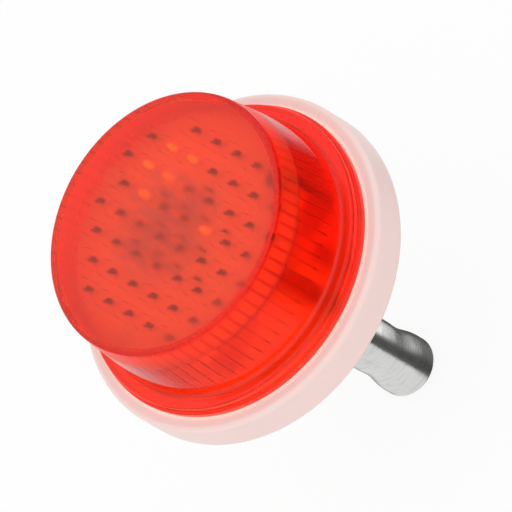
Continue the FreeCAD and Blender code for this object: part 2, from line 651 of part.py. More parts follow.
def make_standoffs():
    """Three hexagonal standoffs, tapped at both ends, from the base's bosses to the LED board."""
    length = f"{BOARD_FOOT_HEAP} - dims.sink_boss_height"
    blank = doc.addObject("Part::Prism", "StandoffBlank")
    blank.Polygon = 6
    blank.setExpression("Circumradius", "dims.standoff_flats / 2 / cos(30)")
    blank.setExpression("Height", length)
    bores = [cylinder("LowTap", TAPPED, "dims.screw_depth"),
             cylinder("HighTap", TAPPED, "dims.screw_depth", z=f"{length} - dims.screw_depth")]
    standoff = cut("Standoff", blank, join("Taps", bores))
    group = scatter("Standoffs", standoff, [shifted(x, y) for x, y in spots_of(STANDOFFS)])
    return keep(place(group, z=f"{SEAT} + {SINK_TOP}"), "board_standoffs")


def make_screws():
    """Five M3 screws in the base's back, three on the LED board, and two M2 screws on the switch board."""
    m3 = make_screw("ScrewM3", "dims.screw_radius", "dims.screw_length", "dims.screw_head_radius",
                    "dims.screw_head_height")
    back = scatter("BackScrews", m3, [shifted(x, y) for x, y in spots_of(STANDOFFS + EARS)])
    keep(place(back, z=f"{SEAT} + dims.sink_depth"), "back_screws")
    over = FreeCAD.Rotation(Vector(1, 0, 0), 180)
    board = scatter("BoardScrews", m3,
                    [FreeCAD.Placement(Vector(x, y, 0), over) for x, y in spots_of(STANDOFFS)])
    keep(place(board, z=BOARD_TOP), "board_screws")
    m2 = make_screw("ScrewM2", "dims.card_screw_radius", "dims.card_screw_length",
                    "dims.card_screw_head_radius", "dims.card_screw_head_height")
    card = scatter("CardScrews", m2, [FreeCAD.Placement(Vector(x, y, 0), over) for x, y in spots_of(POSTS)])
    keep(place(card, z=f"{SEAT} + {CARD_FOOT} + dims.card_thickness"), "switch_screws")


# --- LED board ---------------------------------------------------------------------------------------------

def make_board():
    """Round board with a notch for the wires, three screw holes and two holes for each LED."""
    body = new_body("BoardBlank")
    push(body, draw_circles(new_sketch(body), [("0", "0", BOARD_RADIUS)]), "dims.board_thickness")
    notch = draw_outline(new_sketch(body), box_corners(
        f"{LEAD_X} - dims.lead_radius - dims.notch_gap", f"{BOARD_RADIUS} + {CUT_MARGIN}",
        f"{LEAD_Y} - {LEAD_SIDE}", f"{LEAD_Y} + {LEAD_SIDE}"))
    push(body, notch, "dims.board_thickness", cuts=True)
    holes = [(x, y, SCREW_HOLE) for x, y in STANDOFFS]
    push(body, draw_circles(new_sketch(body), holes), "dims.board_thickness", cuts=True)
    place(body, z=BOARD_FOOT)
    drill = cylinder("LegDrill", "dims.leg_hole_radius", "dims.board_thickness")
    drills = scatter("LegDrills", drill, [shifted(x, y) for x, y in leg_spots()])
    place(drills, z=BOARD_FOOT)
    return keep(cut("Board", body, drills), "led_board")


def leg_spots():
    """Places of all LED legs: two to an LED, on a line turned from the Y direction."""
    out = number("dims.leg_pitch / 2 * sin(dims.led_turn)")
    along = number("dims.leg_pitch / 2 * cos(dims.led_turn)")
    return [(x - way * out, y + way * along) for x, y in led_spots() for way in (-1, 1)]


def make_leds():
    """LEDs with a domed top and a foot ring, moulded round the widened ends of their legs."""
    dome_height = "dims.led_height - dims.led_radius"
    ball = doc.addObject("Part::Sphere", "Dome")
    ball.setExpression("Radius", "dims.led_radius")
    place(ball, z=dome_height)
    blank = join("LedBlank", [cylinder("LedFoot", "dims.led_foot_radius", "dims.led_foot_height"),
                              cylinder("LedBody", "dims.led_radius", dome_height), ball])
    length = "dims.board_thickness + dims.leg_tail"
    half = "dims.leg_pitch / 2"
    foot = "dims.lead_frame_foot"
    frame = [box("Leg", "dims.leg_side", "dims.leg_side", f"{length} + {foot}", y=side, z=f"-({length})")
             for side in (f"-{half}", half)]
    frame.append(box("Anvil", "dims.anvil_depth", "dims.anvil_width", "dims.anvil_height",
                     y=f"-{half} - dims.leg_side / 2 + dims.anvil_width / 2", z=foot))
    frame.append(box("Post", "dims.post_depth", "dims.post_width", "dims.post_height",
                     y=f"{half} + dims.leg_side / 2 - dims.post_width / 2", z=foot))
    legs = join("LeadFrame", frame)
    led = cut("Led", blank, legs)
    turn = number("dims.led_turn")
    spots = [shifted(x, y, turn=turn) for x, y in led_spots()]
    keep(place(scatter("Leds", led, spots), z=BOARD_TOP), "led_lamps")
    keep(place(scatter("Legs", legs, spots), z=BOARD_TOP), "led_legs")


def make_chips():
    """Surface-mount resistors and transistors between the LEDs, and the driver chip under the board."""
    chip = box("Resistor", "dims.chip_length", "dims.chip_width", "dims.chip_height")
    spots = [shifted(x, y, turn=90) for x, y in gap_spots(RESISTORS)]
    keep(place(scatter("Resistors", chip, spots), z=BOARD_TOP), "board_resistors")
    sot = box("Transistor", "dims.sot_length", "dims.sot_width", "dims.sot_height")
    spots = [shifted(x, y, turn=90) for x, y in gap_spots(TRANSISTORS)]
    keep(place(scatter("Transistors", sot, spots), z=BOARD_TOP), "board_transistors")
    keep(box("Driver", "dims.driver_width", "dims.driver_length", "dims.driver_height",
             z=f"{BOARD_FOOT} - dims.driver_height"), "driver_chip")


# --- cells and their tray ----------------------------------------------------------------------------------

def make_tray():
    """Open tray with one bay for each cell, on two screwed ears and two plain legs."""
    body = new_body("Tray")
    half_length = TRAY_HALF_LENGTH
    outer = box_corners(f"-({half_length})", half_length, f"-({TRAY_HALF_WIDTH})", TRAY_HALF_WIDTH)
    push(body, draw_outline(new_sketch(body), outer), "dims.tray_height")
    ears = draw_circles(new_sketch(body), [(x, y, "dims.ear_radius") for x, y in EARS])
    push(body, ears, "dims.ear_height")
    webs = new_sketch(body)
    for side, (x, y) in zip(("", "-"), EARS):
        draw_outline(webs, box_corners(f"{x} - dims.ear_radius", f"{x} + dims.ear_radius",
                                       f"{side}({TRAY_HALF_WIDTH} - dims.tray_wall / 2)", y))
    push(body, webs, "dims.ear_height")
    plain = ((x, f"-({y}) + {side}2 * dims.ear_radius")
             for side, (x, y) in zip(("", "-"), EARS))
    columns = [(x, y, "dims.ear_radius") for x, y in EARS]
    columns += [(x, y, "dims.ear_radius - dims.tray_wall / 2") for x, y in plain]
    legs = draw_circles(new_sketch(body), columns)
    push(body, legs, f"{TRAY_HEAP}", down=True)
    trim = draw_circles(new_sketch(body, lift=f"dims.sink_boss_height - ({TRAY_HEAP})"),
                        [(x, y, f"dims.ear_radius + {CUT_MARGIN / 2}") for x, y in EARS])
    push(body, trim, f"dims.sink_boss_height + {CUT_MARGIN}", cuts=True, down=True)
    taps = draw_circles(new_sketch(body, lift=f"dims.sink_boss_height - ({TRAY_HEAP})"),
                        [(x, y, TAPPED) for x, y in EARS])
    push(body, taps, "dims.screw_depth", cuts=True)
    first_bay = f"-({TRAY_HALF_WIDTH}) + dims.tray_wall"
    bay = draw_outline(new_sketch(body, lift="dims.tray_floor"), box_corners(
        f"-({BAY_HALF_LENGTH})", BAY_HALF_LENGTH, first_bay, f"{first_bay} + {BAY_WIDTH}"))
    cavity = push(body, bay, "dims.tray_height", cuts=True)
    bays = body.newObject("PartDesign::LinearPattern", "Bays")
    bays.Originals = [cavity]
    bays.Direction = (origin_feature(body, "Y_Axis"), [""])
    bays.setExpression("Length", f"(dims.cell_count - 1) * {BAY_PITCH}")
    bays.setExpression("Occurrences", "dims.cell_count")
    body.Tip = bays
    place(body, z=TRAY_SEAT)
    return keep(body, "battery_tray")


def cell_way(index):
    """1 where a cell's button points to +X, and -1 where it points to -X."""
    return 1 if index % 2 == 0 else -1


def bay_y(index):
    return f"({index} - (dims.cell_count - 1) / 2) * {BAY_PITCH}"


def make_cells():
    """AAA cells lying along X in the tray, each turned round from the last."""
    for index in range(int(number("dims.cell_count"))):
        body = new_body("Cell")
        nib = "dims.cell_length + dims.cell_nib_height"
        profile = draw_outline(new_sketch(body, "XZ_Plane"), (
            ("0", "0"), ("dims.cell_radius", "0"), ("dims.cell_radius", "dims.cell_length"),
            ("dims.cell_nib_radius", "dims.cell_length"), ("dims.cell_nib_radius", nib), ("0", nib)))
        sweep_round(body, profile)
        can = "dims.cell_radius"
        round_rims(body, ((can, "0"), (can, "dims.cell_length")), "dims.cell_round")
        way = cell_way(index)
        body.Placement = FreeCAD.Placement(Vector(), FreeCAD.Rotation(Vector(0, way, 0), 90))
        place(body, f"{-way} * (dims.cell_length + dims.cell_nib_height) / 2",
              bay_y(index),
              f"{TRAY_SEAT} + dims.tray_floor + dims.bay_fit + dims.cell_radius")
        keep(body, f"battery_cell_{index + 1}")


def make_contacts():
    """A dimpled plate at each cell's button and a leaf spring at its other end."""
    reach = "dims.contact_room - dims.contact_gap"
    plate = box("Plate", "dims.contact_thickness", "dims.contact_side", "dims.contact_side",
                x="-dims.contact_thickness / 2")
    dimple = cylinder("Dimple", "dims.dimple_radius", reach)
    dimple.Placement = FreeCAD.Placement(Vector(), FreeCAD.Rotation(Vector(0, -1, 0), 90))
    centre = "dims.bay_fit + dims.cell_radius - dims.contact_lift"
    place(dimple, z=centre)
    button_end = join("PlusContact", [plate, dimple])
    leaf = new_body("Leaf")
    strip = "dims.contact_thickness"
    profile = draw_outline(new_sketch(leaf, "XZ_Plane"), (
        ("0", "0"), ("0", "dims.contact_side"), (f"-{strip}", "dims.contact_side"),
        (f"-({reach})", f"{centre} + {strip} / 2"), (f"-({reach})", f"{centre} - {strip} / 2"),
        (f"-({reach}) + {strip}", f"{centre} - {strip} / 2"),
        (f"-2 * {strip}", f"dims.contact_side - 3 * {strip}"),
        (f"-{strip}", f"dims.contact_side - 3 * {strip}"),
        (f"-{strip}", "0")))
    push(leaf, profile, "dims.leaf_width", both=True)
    wall = number(BAY_HALF_LENGTH)
    plus = []
    minus = []
    for index in range(int(number("dims.cell_count"))):
        way = cell_way(index)
        y = number(bay_y(index))
        plus.append(shifted(way * wall, y, turn=0 if way > 0 else 180))
        minus.append(shifted(-way * wall, y, turn=180 if way > 0 else 0))
    seat = f"{TRAY_SEAT} + dims.tray_floor + dims.contact_lift"
    keep(place(scatter("PlusContacts", button_end, plus), z=seat), "plate_contacts")
    keep(place(scatter("MinusContacts", leaf, minus), z=seat), "leaf_contacts")
    pad = box("Pad", "dims.pad_length", "dims.pad_width", "dims.pad_thickness",
              z=f"{FLOOR} + {PAD_HEAP}")
    keep(pad, "cell_pad")


# --- switch ------------------------------------------------------------------------------------------------

def make_switch():
    """Push button in the base's dish, and over it the switch on its small board."""
    body = new_body("Button")
    lip = "dims.button_radius + dims.button_lip"
    lip_top = f"{BUTTON_LIP} + dims.button_lip_height"
    profile = draw_outline(new_sketch(body, "XZ_Plane"), (
        ("0", "dims.button_tip"), ("dims.button_radius", "dims.button_tip"),
        ("dims.button_radius", BUTTON_LIP), (lip, BUTTON_LIP), (lip, lip_top), ("0", lip_top)))
    sweep_round(body, profile)
    round_rims(body, (("dims.button_radius", "dims.button_tip"),), "dims.button_round")
    keep(place(body, "dims.switch_reach", z=SEAT), "power_button")
    spot = {"x": "dims.switch_reach"}
    keep(cylinder("Plunger", "dims.plunger_radius", "dims.press_room + dims.plunger_entry",
                  z=f"{SEAT} + {lip_top}", **spot), "switch_plunger")
    case = box("Case", "dims.switch_side", "dims.switch_side", "dims.switch_height",
               z=f"{SEAT} + {SWITCH_FOOT}", **spot)
    well = cylinder("Well", "dims.plunger_radius + dims.plunger_fit", "dims.switch_well",
                    z=f"{SEAT} + {SWITCH_FOOT}", **spot)
    keep(cut("Switch", case, well), "push_switch")
    card = box("CardBlank", "dims.card_width", "dims.card_length", "dims.card_thickness",
               z=f"{SEAT} + {CARD_FOOT}", **spot)
    holes = [cylinder("CardHole", "dims.card_screw_radius + dims.screw_fit", "dims.card_thickness",
                      x, y, f"{SEAT} + {CARD_FOOT}") for x, y in POSTS]
    keep(cut("Card", card, join("CardHoles", holes)), "switch_board")


# --- wires -------------------------------------------------------------------------------------------------

def lead(name, *points):
    """Round wire through points given as expressions: straight runs joined by tangent arcs of one radius."""
    points = [Vector(*(number(axis) for axis in point)) for point in points]
    bend = number("dims.lead_bend")
    edges = []
    start = points[0]
    for before, corner, after in zip(points, points[1:], points[2:]):
        inward = (corner - before).normalize()
        outward = (after - corner).normalize()
        turn = inward.getAngle(outward)
        setback = bend * math.tan(turn / 2)
        entry = corner - inward * setback
        leave = corner + outward * setback
        middle = corner + (outward - inward).normalize() * (bend / math.cos(turn / 2) - bend)
        edges += [Part.LineSegment(start, entry).toShape(), Part.Arc(entry, middle, leave).toShape()]
        start = leave
    edges.append(Part.LineSegment(start, points[-1]).toShape())
    path = Part.Wire(edges)
    circle = Part.Circle(points[0], points[1] - points[0], number("dims.lead_radius"))
    made = doc.addObject("Part::Feature", name)
    made.Shape = path.makePipeShell([Part.Wire([circle.toShape()])], True, False)
    return keep(made, name)


def make_leads():
    """Wires from the tray and the switch board, up through the notch to the top of the LED board."""
    out_z = f"{TRAY_SEAT} + dims.lead_exit"
    over = f"{BOARD_TOP} + dims.lead_rise"
    card = f"{SEAT} + {CARD_FOOT} + dims.card_thickness"
    loop = f"{card} + dims.card_loop"
    inner = f"{LEAD_Y} + dims.lead_spread / 2"
    outer = f"{LEAD_Y} - dims.lead_spread / 2"
    pad_x = LEAD_PAD_X
    card_x = "dims.switch_reach + dims.card_pad"
    lead("wire_tray", (TRAY_HALF_LENGTH, inner, out_z), (LEAD_X, inner, out_z), (LEAD_X, inner, over),
         (pad_x, inner, over), (pad_x, inner, BOARD_TOP))
    lead("wire_feed", (card_x, "-dims.card_pad", card), (card_x, "-dims.card_pad", loop),
         (LEAD_X, outer, loop), (LEAD_X, outer, over), (pad_x, outer, over), (pad_x, outer, BOARD_TOP))
    lead("wire_switch", (TRAY_HALF_LENGTH, "dims.card_pad", out_z), (card_x, "dims.card_pad", out_z),
         (card_x, "dims.card_pad", card))


make_stem()
make_fastening()
make_housing()
make_gasket()
make_lens()
make_standoffs()
make_screws()
make_board()
make_leds()
make_chips()
make_tray()
make_cells()
make_contacts()
make_switch()
make_leads()
doc.recompute()

for made in doc.Objects:
    if "Invalid" in made.State or "Error" in made.State:
        raise RuntimeError(f"{made.Name} failed: {made.State}")
for node in nodes:
    if node.Shape.isNull() or not node.Shape.isValid():
        raise RuntimeError(f"{node.Label} has no valid shape")

os.makedirs("parts", exist_ok=True)
for node in nodes:
    node.Shape.exportStep(f"parts/{node.Label}.step")
    bounds = node.Shape.BoundBox
    print(f"{node.Label:20} solids {len(node.Shape.Solids):3d}  volume {node.Shape.Volume:10.1f}"
          f"  z {bounds.ZMin:7.2f} to {bounds.ZMax:7.2f}")
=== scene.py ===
import math

import bpy
import numpy as np
from mathutils import Matrix, Vector


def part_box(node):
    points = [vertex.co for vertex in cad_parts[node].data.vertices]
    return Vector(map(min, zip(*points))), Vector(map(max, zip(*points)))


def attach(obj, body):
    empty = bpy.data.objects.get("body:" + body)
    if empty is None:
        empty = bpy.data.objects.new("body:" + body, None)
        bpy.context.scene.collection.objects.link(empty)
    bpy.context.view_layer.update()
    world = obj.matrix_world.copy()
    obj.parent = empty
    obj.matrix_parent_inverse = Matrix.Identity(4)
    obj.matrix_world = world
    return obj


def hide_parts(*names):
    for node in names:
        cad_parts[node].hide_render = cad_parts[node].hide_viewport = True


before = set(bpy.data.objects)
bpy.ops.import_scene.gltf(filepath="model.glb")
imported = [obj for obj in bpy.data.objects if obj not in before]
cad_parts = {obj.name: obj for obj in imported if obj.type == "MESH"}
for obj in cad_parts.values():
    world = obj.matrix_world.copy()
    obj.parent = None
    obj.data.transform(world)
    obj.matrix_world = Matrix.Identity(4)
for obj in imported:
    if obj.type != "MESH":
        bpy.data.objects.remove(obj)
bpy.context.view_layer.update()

bl_info = {
    "name": "Safety Flare Looks",
    "version": (1, 0, 0),
    "blender": (4, 5, 0),
    "location": "3D View > Sidebar > Flare",
    "description": "Pieces and finishes of a twist-lock LED safety flare on a turned stem",
    "category": "Object",
}

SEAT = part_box("base_housing")[0].z
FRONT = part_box("base_housing")[1].z
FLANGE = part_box("base_housing")[1].x
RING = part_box("lens_cover")[1].x
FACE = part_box("lens_cover")[1].z
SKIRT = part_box("lens_cover")[0].z
BOARD_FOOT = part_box("led_board")[0].z
BOARD_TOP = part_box("led_board")[1].z
STUD_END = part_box("mount_stem")[1].z
SHARP_EDGE = math.radians(38)               # edges that turn by more than this stay sharp
ANVIL_Y = -0.0008                           # an LED's anvil, which holds its die, beside the LED's axis
CHIP_POWER = 0.12                           # nearly square outline of the small chips
BLACK = (0.0, 0.0, 0.0)
WHITE = (1.0, 1.0, 1.0)


def length(name, description, default):
    """A size in metres that shows in the sidebar."""
    return bpy.props.FloatProperty(name=name, description=description, default=default, min=0.0,
                                   precision=5, subtype="DISTANCE", unit="LENGTH")


def angle(name, description, default):
    """An angle, given in degrees, that shows in the sidebar."""
    return bpy.props.FloatProperty(name=name, description=description, default=math.radians(default),
                                   subtype="ANGLE", unit="ROTATION")


def colour(name, description, default):
    """A linear colour that shows in the sidebar."""
    return bpy.props.FloatVectorProperty(name=name, description=description, default=default, size=3,
                                         min=0.0, max=1.0, subtype="COLOR")


def amount(name, description, default):
    """A plain number that shows in the sidebar."""
    return bpy.props.FloatProperty(name=name, description=description, default=default, min=0.0)


def count(name, description, default):
    """A whole number that shows in the sidebar."""
    return bpy.props.IntProperty(name=name, description=description, default=default, min=1)


class LensSizes(bpy.types.PropertyGroup):
    """Sizes and colours of the drum lens"""
    drum_radius: length("Drum radius", "Outside of the drum where it meets the ring", 0.041)
    draft: length("Draft", "How far the drum narrows from its ring to its face", 0.0024)
    wall: length("Wall", "Thickness of the drum's wall", 0.0022)
    face_thickness: length("Face thickness", "Thickness of the flat face", 0.002)
    face_round: length("Face rounding", "Rounding of the face's edge", 0.0016)
    ring_height: length("Ring height", "Both steps of the ring together", 0.0052)
    step_height: length("Step height", "The ring's lower step", 0.0022)
    step: length("Step", "How far the ring's upper step is set in", 0.0008)
    flutes: count("Flutes", "Flutes inside the drum", 72)
    flute_width: length("Flute width", "Width of one flute", 0.0015)
    flute_depth: length("Flute depth", "Depth of one flute", 0.0001)
    flute_start: length("Plain band", "Plain wall between the ring and the flutes", 0.0048)
    lug_reach: length("Lug reach", "How far a twist-lock lug stands out of the skirt", 0.0014)
    lug_drop: length("Lug drop", "Top of a lug below the base's front", 0.0038)
    lug_height: length("Lug height", "Height of a lug", 0.0016)
    lug_angle: angle("Lug angle", "One lug, round the axis", 12.0)
    face_colour: colour("Face colour", "Red of the face, which is thinnest", (0.91, 0.135, 0.045))
    # Painted light: the wall's -X side is painted paler for the studio light it reflects; the plastic is the
    # same red there
    wall_lit_side: colour("Pale wall", "Wall where the plastic is paler", (1.0, 0.045, 0.003))
    wall_colour: colour("Wall colour", "Red of the wall and the ring", (1.0, 0.008, 0.0005))


class StemSizes(bpy.types.PropertyGroup):
    """Sizes and colours of the turned stem"""
    end_radius: length("End radius", "Wider, rounded free end", 0.009)
    waist_radius: length("Waist radius", "Narrowest place, above the free end", 0.0077)
    shank_radius: length("Shank radius", "Straight shank", 0.008)
    collar_radius: length("Collar radius", "Collar that bears on the seal", 0.012)
    stud_radius: length("Stud radius", "Threaded end inside the base", 0.005)
    thread_pitch: length("Thread pitch", "One turn of the thread", 0.0015)
    thread_depth: length("Thread depth", "Root of the thread below its crest", 0.0006)
    bright: colour("Bright zinc", "Clean zinc plate", (0.80, 0.80, 0.79))
    dull: colour("Dull zinc", "Darkened streaks in the plate", (0.22, 0.22, 0.23))


class LedSizes(bpy.types.PropertyGroup):
    """Sizes and colours of the LEDs"""
    body_radius: length("Body radius", "LED body and its dome", 0.0025)
    body_height: length("Height", "LED above the board", 0.0087)
    foot_radius: length("Foot radius", "LED's foot ring", 0.0029)
    foot_height: length("Foot height", "LED's foot ring", 0.001)
    turn: angle("Turn", "Line through an LED's two legs, turned from the Y direction", 24.0)
    leg_pitch: length("Leg pitch", "Two legs of one LED", 0.00254)
    frame_foot: length("Frame foot", "Widened ends of the legs, above the board", 0.002)
    epoxy: colour("Epoxy", "Tinted epoxy of the LED bodies", (1.0, 0.92, 0.90))
    # Lit dice glow by emission: painted glints for light caught in the LED cups
    lit: colour("Lit dice", "LEDs that catch the light in their cups", (1.0, 0.50, 0.0))


class StageSizes(bpy.types.PropertyGroup):
    """Camera and lamps"""
    elevation: angle("Elevation", "Camera above the horizon", 48.25)
    roll: angle("Roll", "Camera turned about its own line of sight", 59.42)
    distance: length("Distance", "Camera to the base's back face", 2.679)
    lens: amount("Lens", "Camera's focal length in millimetres", 677.8)
    aim_right: length("Aim right", "Point aimed at, right of the base's back centre", 0.0005)
    aim_up: length("Aim up", "Point aimed at, above the base's back centre", 0.00564)
    fill: amount("Fill", "Light from all round", 0.98)
    inside: amount("Inside", "Light that comes in through the lens", 1.1)
    key: amount("Key", "Power of the large lamp, in watts", 1.0)
    room: amount("Room", "Power of each lamp in the room under the LED board, in watts", 0.030)


SETTINGS = (("flare_lens", LensSizes), ("flare_stem", StemSizes), ("flare_leds", LedSizes),
            ("flare_stage", StageSizes))


# --- surfaces ----------------------------------------------------------------------------------------------

def rounded(corners, radii, steps=6):
    """Straight runs through corner points, each corner replaced by a circular arc tangent to both runs.
    The arc leaves each run at radius x tan(half the turn) from the corner."""
    corners = np.asarray(corners, float)
    made = [corners[:1]]
    for before, corner, after, radius in zip(corners, corners[1:], corners[2:], radii[1:]):
        back, ahead = before - corner, after - corner
        back, ahead = back / np.linalg.norm(back), ahead / np.linalg.norm(ahead)
        bend = math.acos(np.clip(np.dot(back, ahead), -1, 1))
        if radius <= 0 or bend > math.pi - 1e-3:
            made.append(corner[None])
            continue
        middle = corner + (back + ahead) / np.linalg.norm(back + ahead) * radius / math.sin(bend / 2)
        start = corner + back * radius / math.tan(bend / 2) - middle
        end = corner + ahead * radius / math.tan(bend / 2) - middle
        share = np.linspace(0, 1, steps + 1)[:, None]
        sweep = math.pi - bend
        arc = np.sin((1 - share) * sweep) * start + np.sin(share * sweep) * end
        made.append(middle + arc / math.sin(sweep))
    made.append(corners[-1:])
    return np.concatenate(made)


def stacked(rings, first=None, last=None):
    """Closed skin over a stack of rings of equal point counts, given as an array (rings, points, 3).
    Quads join each ring to the next. Fans close the ends to the points first and last, or, with neither,
    the last ring is joined to the first."""
    rows, columns = rings.shape[:2]
    points = rings.reshape(-1, 3)
    row = np.arange(rows if first is None else rows - 1)[:, None]
    column = np.arange(columns)[None]
    below, beside = (row + 1) % rows, (column + 1) % columns
    quads = np.stack([row * columns + column, row * columns + beside,
                      below * columns + beside, below * columns + column], -1).reshape(-1, 4)
    if first is None:
        return points, quads, np.empty((0, 3), int)
    around, next_one = np.arange(columns), (np.arange(columns) + 1) % columns
    foot, top = len(points), len(points) + 1
    fans = np.concatenate([np.stack([np.full(columns, foot), next_one, around], -1),
                           np.stack([np.full(columns, top), (rows - 1) * columns + around,
                                     (rows - 1) * columns + next_one], -1)])
    return np.concatenate([points, [first, last]]), quads, fans


def turned(profile, angles, swell=0.0):
    """Surface of a profile of (radius, height) turned round the Z axis: x = (radius + swell) cos angle,
    y = (radius + swell) sin angle, z = height. A profile from axis to axis closes in two poles, and any
    other is a loop that closes on itself. Swell is a number or an array (profile points, angles)."""
    poles = profile[0, 0] < 1e-9 and profile[-1, 0] < 1e-9
    path = profile[1:-1] if poles else profile
    reach = path[:, :1] + (swell[1:-1] if poles and np.ndim(swell) else swell)
    reach = np.broadcast_to(reach, (len(path), len(angles)))
    rings = np.stack([reach * np.cos(angles), reach * np.sin(angles),
                      np.broadcast_to(path[:, 1:], reach.shape)], -1)
    if not poles:
        return stacked(rings)
    return stacked(rings, np.array([0, 0, profile[0, 1]]), np.array([0, 0, profile[-1, 1]]))


def repeated(skin, spots, turn=0.0):
    """Copies of one skin at many spots (x, y, z), each turned by the same angle about its own upright axis:
    x' = x cos t - y sin t + spot x, y' = x sin t + y cos t + spot y."""
    points, quads, fans = skin
    spin = np.array([[math.cos(turn), math.sin(turn), 0], [-math.sin(turn), math.cos(turn), 0], [0, 0, 1]])
    spots = np.asarray(spots, float).reshape(-1, 1, 3)
    step = (np.arange(len(spots)) * len(points))[:, None, None]
    copies = (points @ spin + spots).reshape(-1, 3)
    return copies, (quads + step).reshape(-1, 4), (fans + step).reshape(-1, 3)


def gathered(*skins):
    """Several skins as one set of points, quads and triangles."""
    starts = np.cumsum([0] + [len(points) for points, _, _ in skins])
    return (np.concatenate([points for points, _, _ in skins]),
            np.concatenate([quads + start for (_, quads, _), start in zip(skins, starts)]),
            np.concatenate([fans + start for (_, _, fans), start in zip(skins, starts)]))


def facing_out(skin):
    """The same skin with its faces turned outwards, by the sign of its volume: the sum over triangles of
    the product a . (b x c) / 6."""
    points, quads, fans = skin
    corners = np.concatenate([quads[:, [0, 1, 2]], quads[:, [0, 2, 3]], fans])
    a, b, c = points[corners[:, 0]], points[corners[:, 1]], points[corners[:, 2]]
    if np.sum(a * np.cross(b, c)) < 0:
        return points, quads[:, ::-1], fans[:, ::-1]
    return skin


def all_round(columns, start=0.0):
    """Equal steps of angle round a full turn, the first one start steps in."""
    return (np.arange(columns) + start) / columns * 2 * math.pi


def squarish(angles, power):
    """Outline between a circle and a square: the signed powers of the angle's cosine and sine. A smaller
    power is squarer."""
    return (np.sign(np.cos(angles)) * np.abs(np.cos(angles)) ** power,
            np.sign(np.sin(angles)) * np.abs(np.sin(angles)) ** power)


def bar(sections, columns=12, power=0.35):
    """Upright bar with a squarish section, closed at both ends. Each section is (height, half size in x,
    half size in y, shift in y), and its outline is the squarish one times the two half sizes."""
    section = np.asarray(sections, float)
    across, along = squarish(all_round(columns, 0.5), power)
    rings = np.stack([section[:, 1:2] * across, section[:, 2:3] * along + section[:, 3:4],
                      np.broadcast_to(section[:, :1], (len(section), columns))], -1)
    return facing_out(stacked(rings, np.array([0, section[0, 3], section[0, 0]]),
                              np.array([0, section[-1, 3], section[-1, 0]])))


def in_scene(name, data):
    """New object in the scene, at the origin, with a mesh, lamp or camera as its data."""
    made = bpy.data.objects.new(name, data)
    bpy.context.scene.collection.objects.link(made)
    return made


def piece(name, skin, finish, body, stands_for=()):
    """Object at the origin with the skin as its mesh, smooth but for its sharp edges, on one CAD body."""
    points, quads, fans = skin
    mesh = bpy.data.meshes.new(name)
    mesh.vertices.add(len(points))
    mesh.vertices.foreach_set("co", points.astype(np.float32).ravel())
    corners = np.concatenate([quads.ravel(), fans.ravel()]).astype(np.int32)
    mesh.loops.add(len(corners))
    mesh.loops.foreach_set("vertex_index", corners)
    sizes = np.concatenate([np.full(len(quads), 4), np.full(len(fans), 3)])
    mesh.polygons.add(len(sizes))
    mesh.polygons.foreach_set("loop_start", (np.cumsum(sizes) - sizes).astype(np.int32))
    mesh.update(calc_edges=True)
    if mesh.validate():
        raise RuntimeError(f"{name} has a faulty mesh")
    mesh.shade_smooth()
    mesh.set_sharp_from_angle(angle=SHARP_EDGE)
    mesh.materials.append(finish)
    made = in_scene(name, mesh)
    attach(made, body)
    if stands_for:
        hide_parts(*stands_for)
    return made


def finish_nodes(finish, *names):
    """Gives a finish to CAD nodes that stay as they are."""
    for name in names:
        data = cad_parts[name].data
        data.materials.clear()
        data.materials.append(finish)


def points_of(node):
    """All corner points of a CAD node, as an array."""
    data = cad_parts[node].data
    points = np.zeros(len(data.vertices) * 3, np.float32)
    data.vertices.foreach_get("co", points)
    return points.reshape(-1, 3).astype(float)


def led_centres():
    """Axis of every LED: the corner points of the CAD LEDs that lie at their very tips."""
    points = points_of("led_lamps")
    tips = points[points[:, 2] > points[:, 2].max() - 1e-5, :2]
    return np.unique(np.round(tips, 5), axis=0)


def boxes_of(node, corners=24):
    """Centres and sizes of the plain boxes that a CAD node is made of, from each box's own corner points."""
    points = points_of(node).reshape(-1, corners, 3)
    low, high = points.min(1), points.max(1)
    if np.ptp(high - low, axis=0).max() > 2e-5:
        raise RuntimeError(f"{node} is not made of equal boxes")
    return (low + high) / 2, (high - low)[0]


# --- finishes ----------------------------------------------------------------------------------------------

class Tone:
    """One value in a material's nodes. Operators on it add Math nodes."""

    def __init__(self, web, socket):
        self.web = web
        self.socket = socket

    def math(self, operation, *values):
        """A Math node on the given values."""
        return self.web.node("ShaderNodeMath", {"operation": operation}, dict(enumerate(values)))[0]

    def __add__(self, other):
        return self.math("ADD", self, other)

    def __sub__(self, other):
        return self.math("SUBTRACT", self, other)

    def __rsub__(self, other):
        return self.math("SUBTRACT", other, self)

    def __mul__(self, other):
        return self.math("MULTIPLY", self, other)

    def __pow__(self, other):
        return self.math("POWER", self, other)

    def __abs__(self):
        return self.math("ABSOLUTE", self)

    __radd__ = __add__
    __rmul__ = __mul__

    def wave(self):
        """Cosine of the value, from -1 to 1."""
        return self.math("COSINE", self)

    def step(self, low, high):
        """0 below low, 1 above high, and a smooth rise between. With low above high it falls."""
        return self.web.node("ShaderNodeMapRange", {"interpolation_type": "SMOOTHSTEP"},
                             {0: self, 1: low, 2: high, 3: 0.0, 4: 1.0})[0]


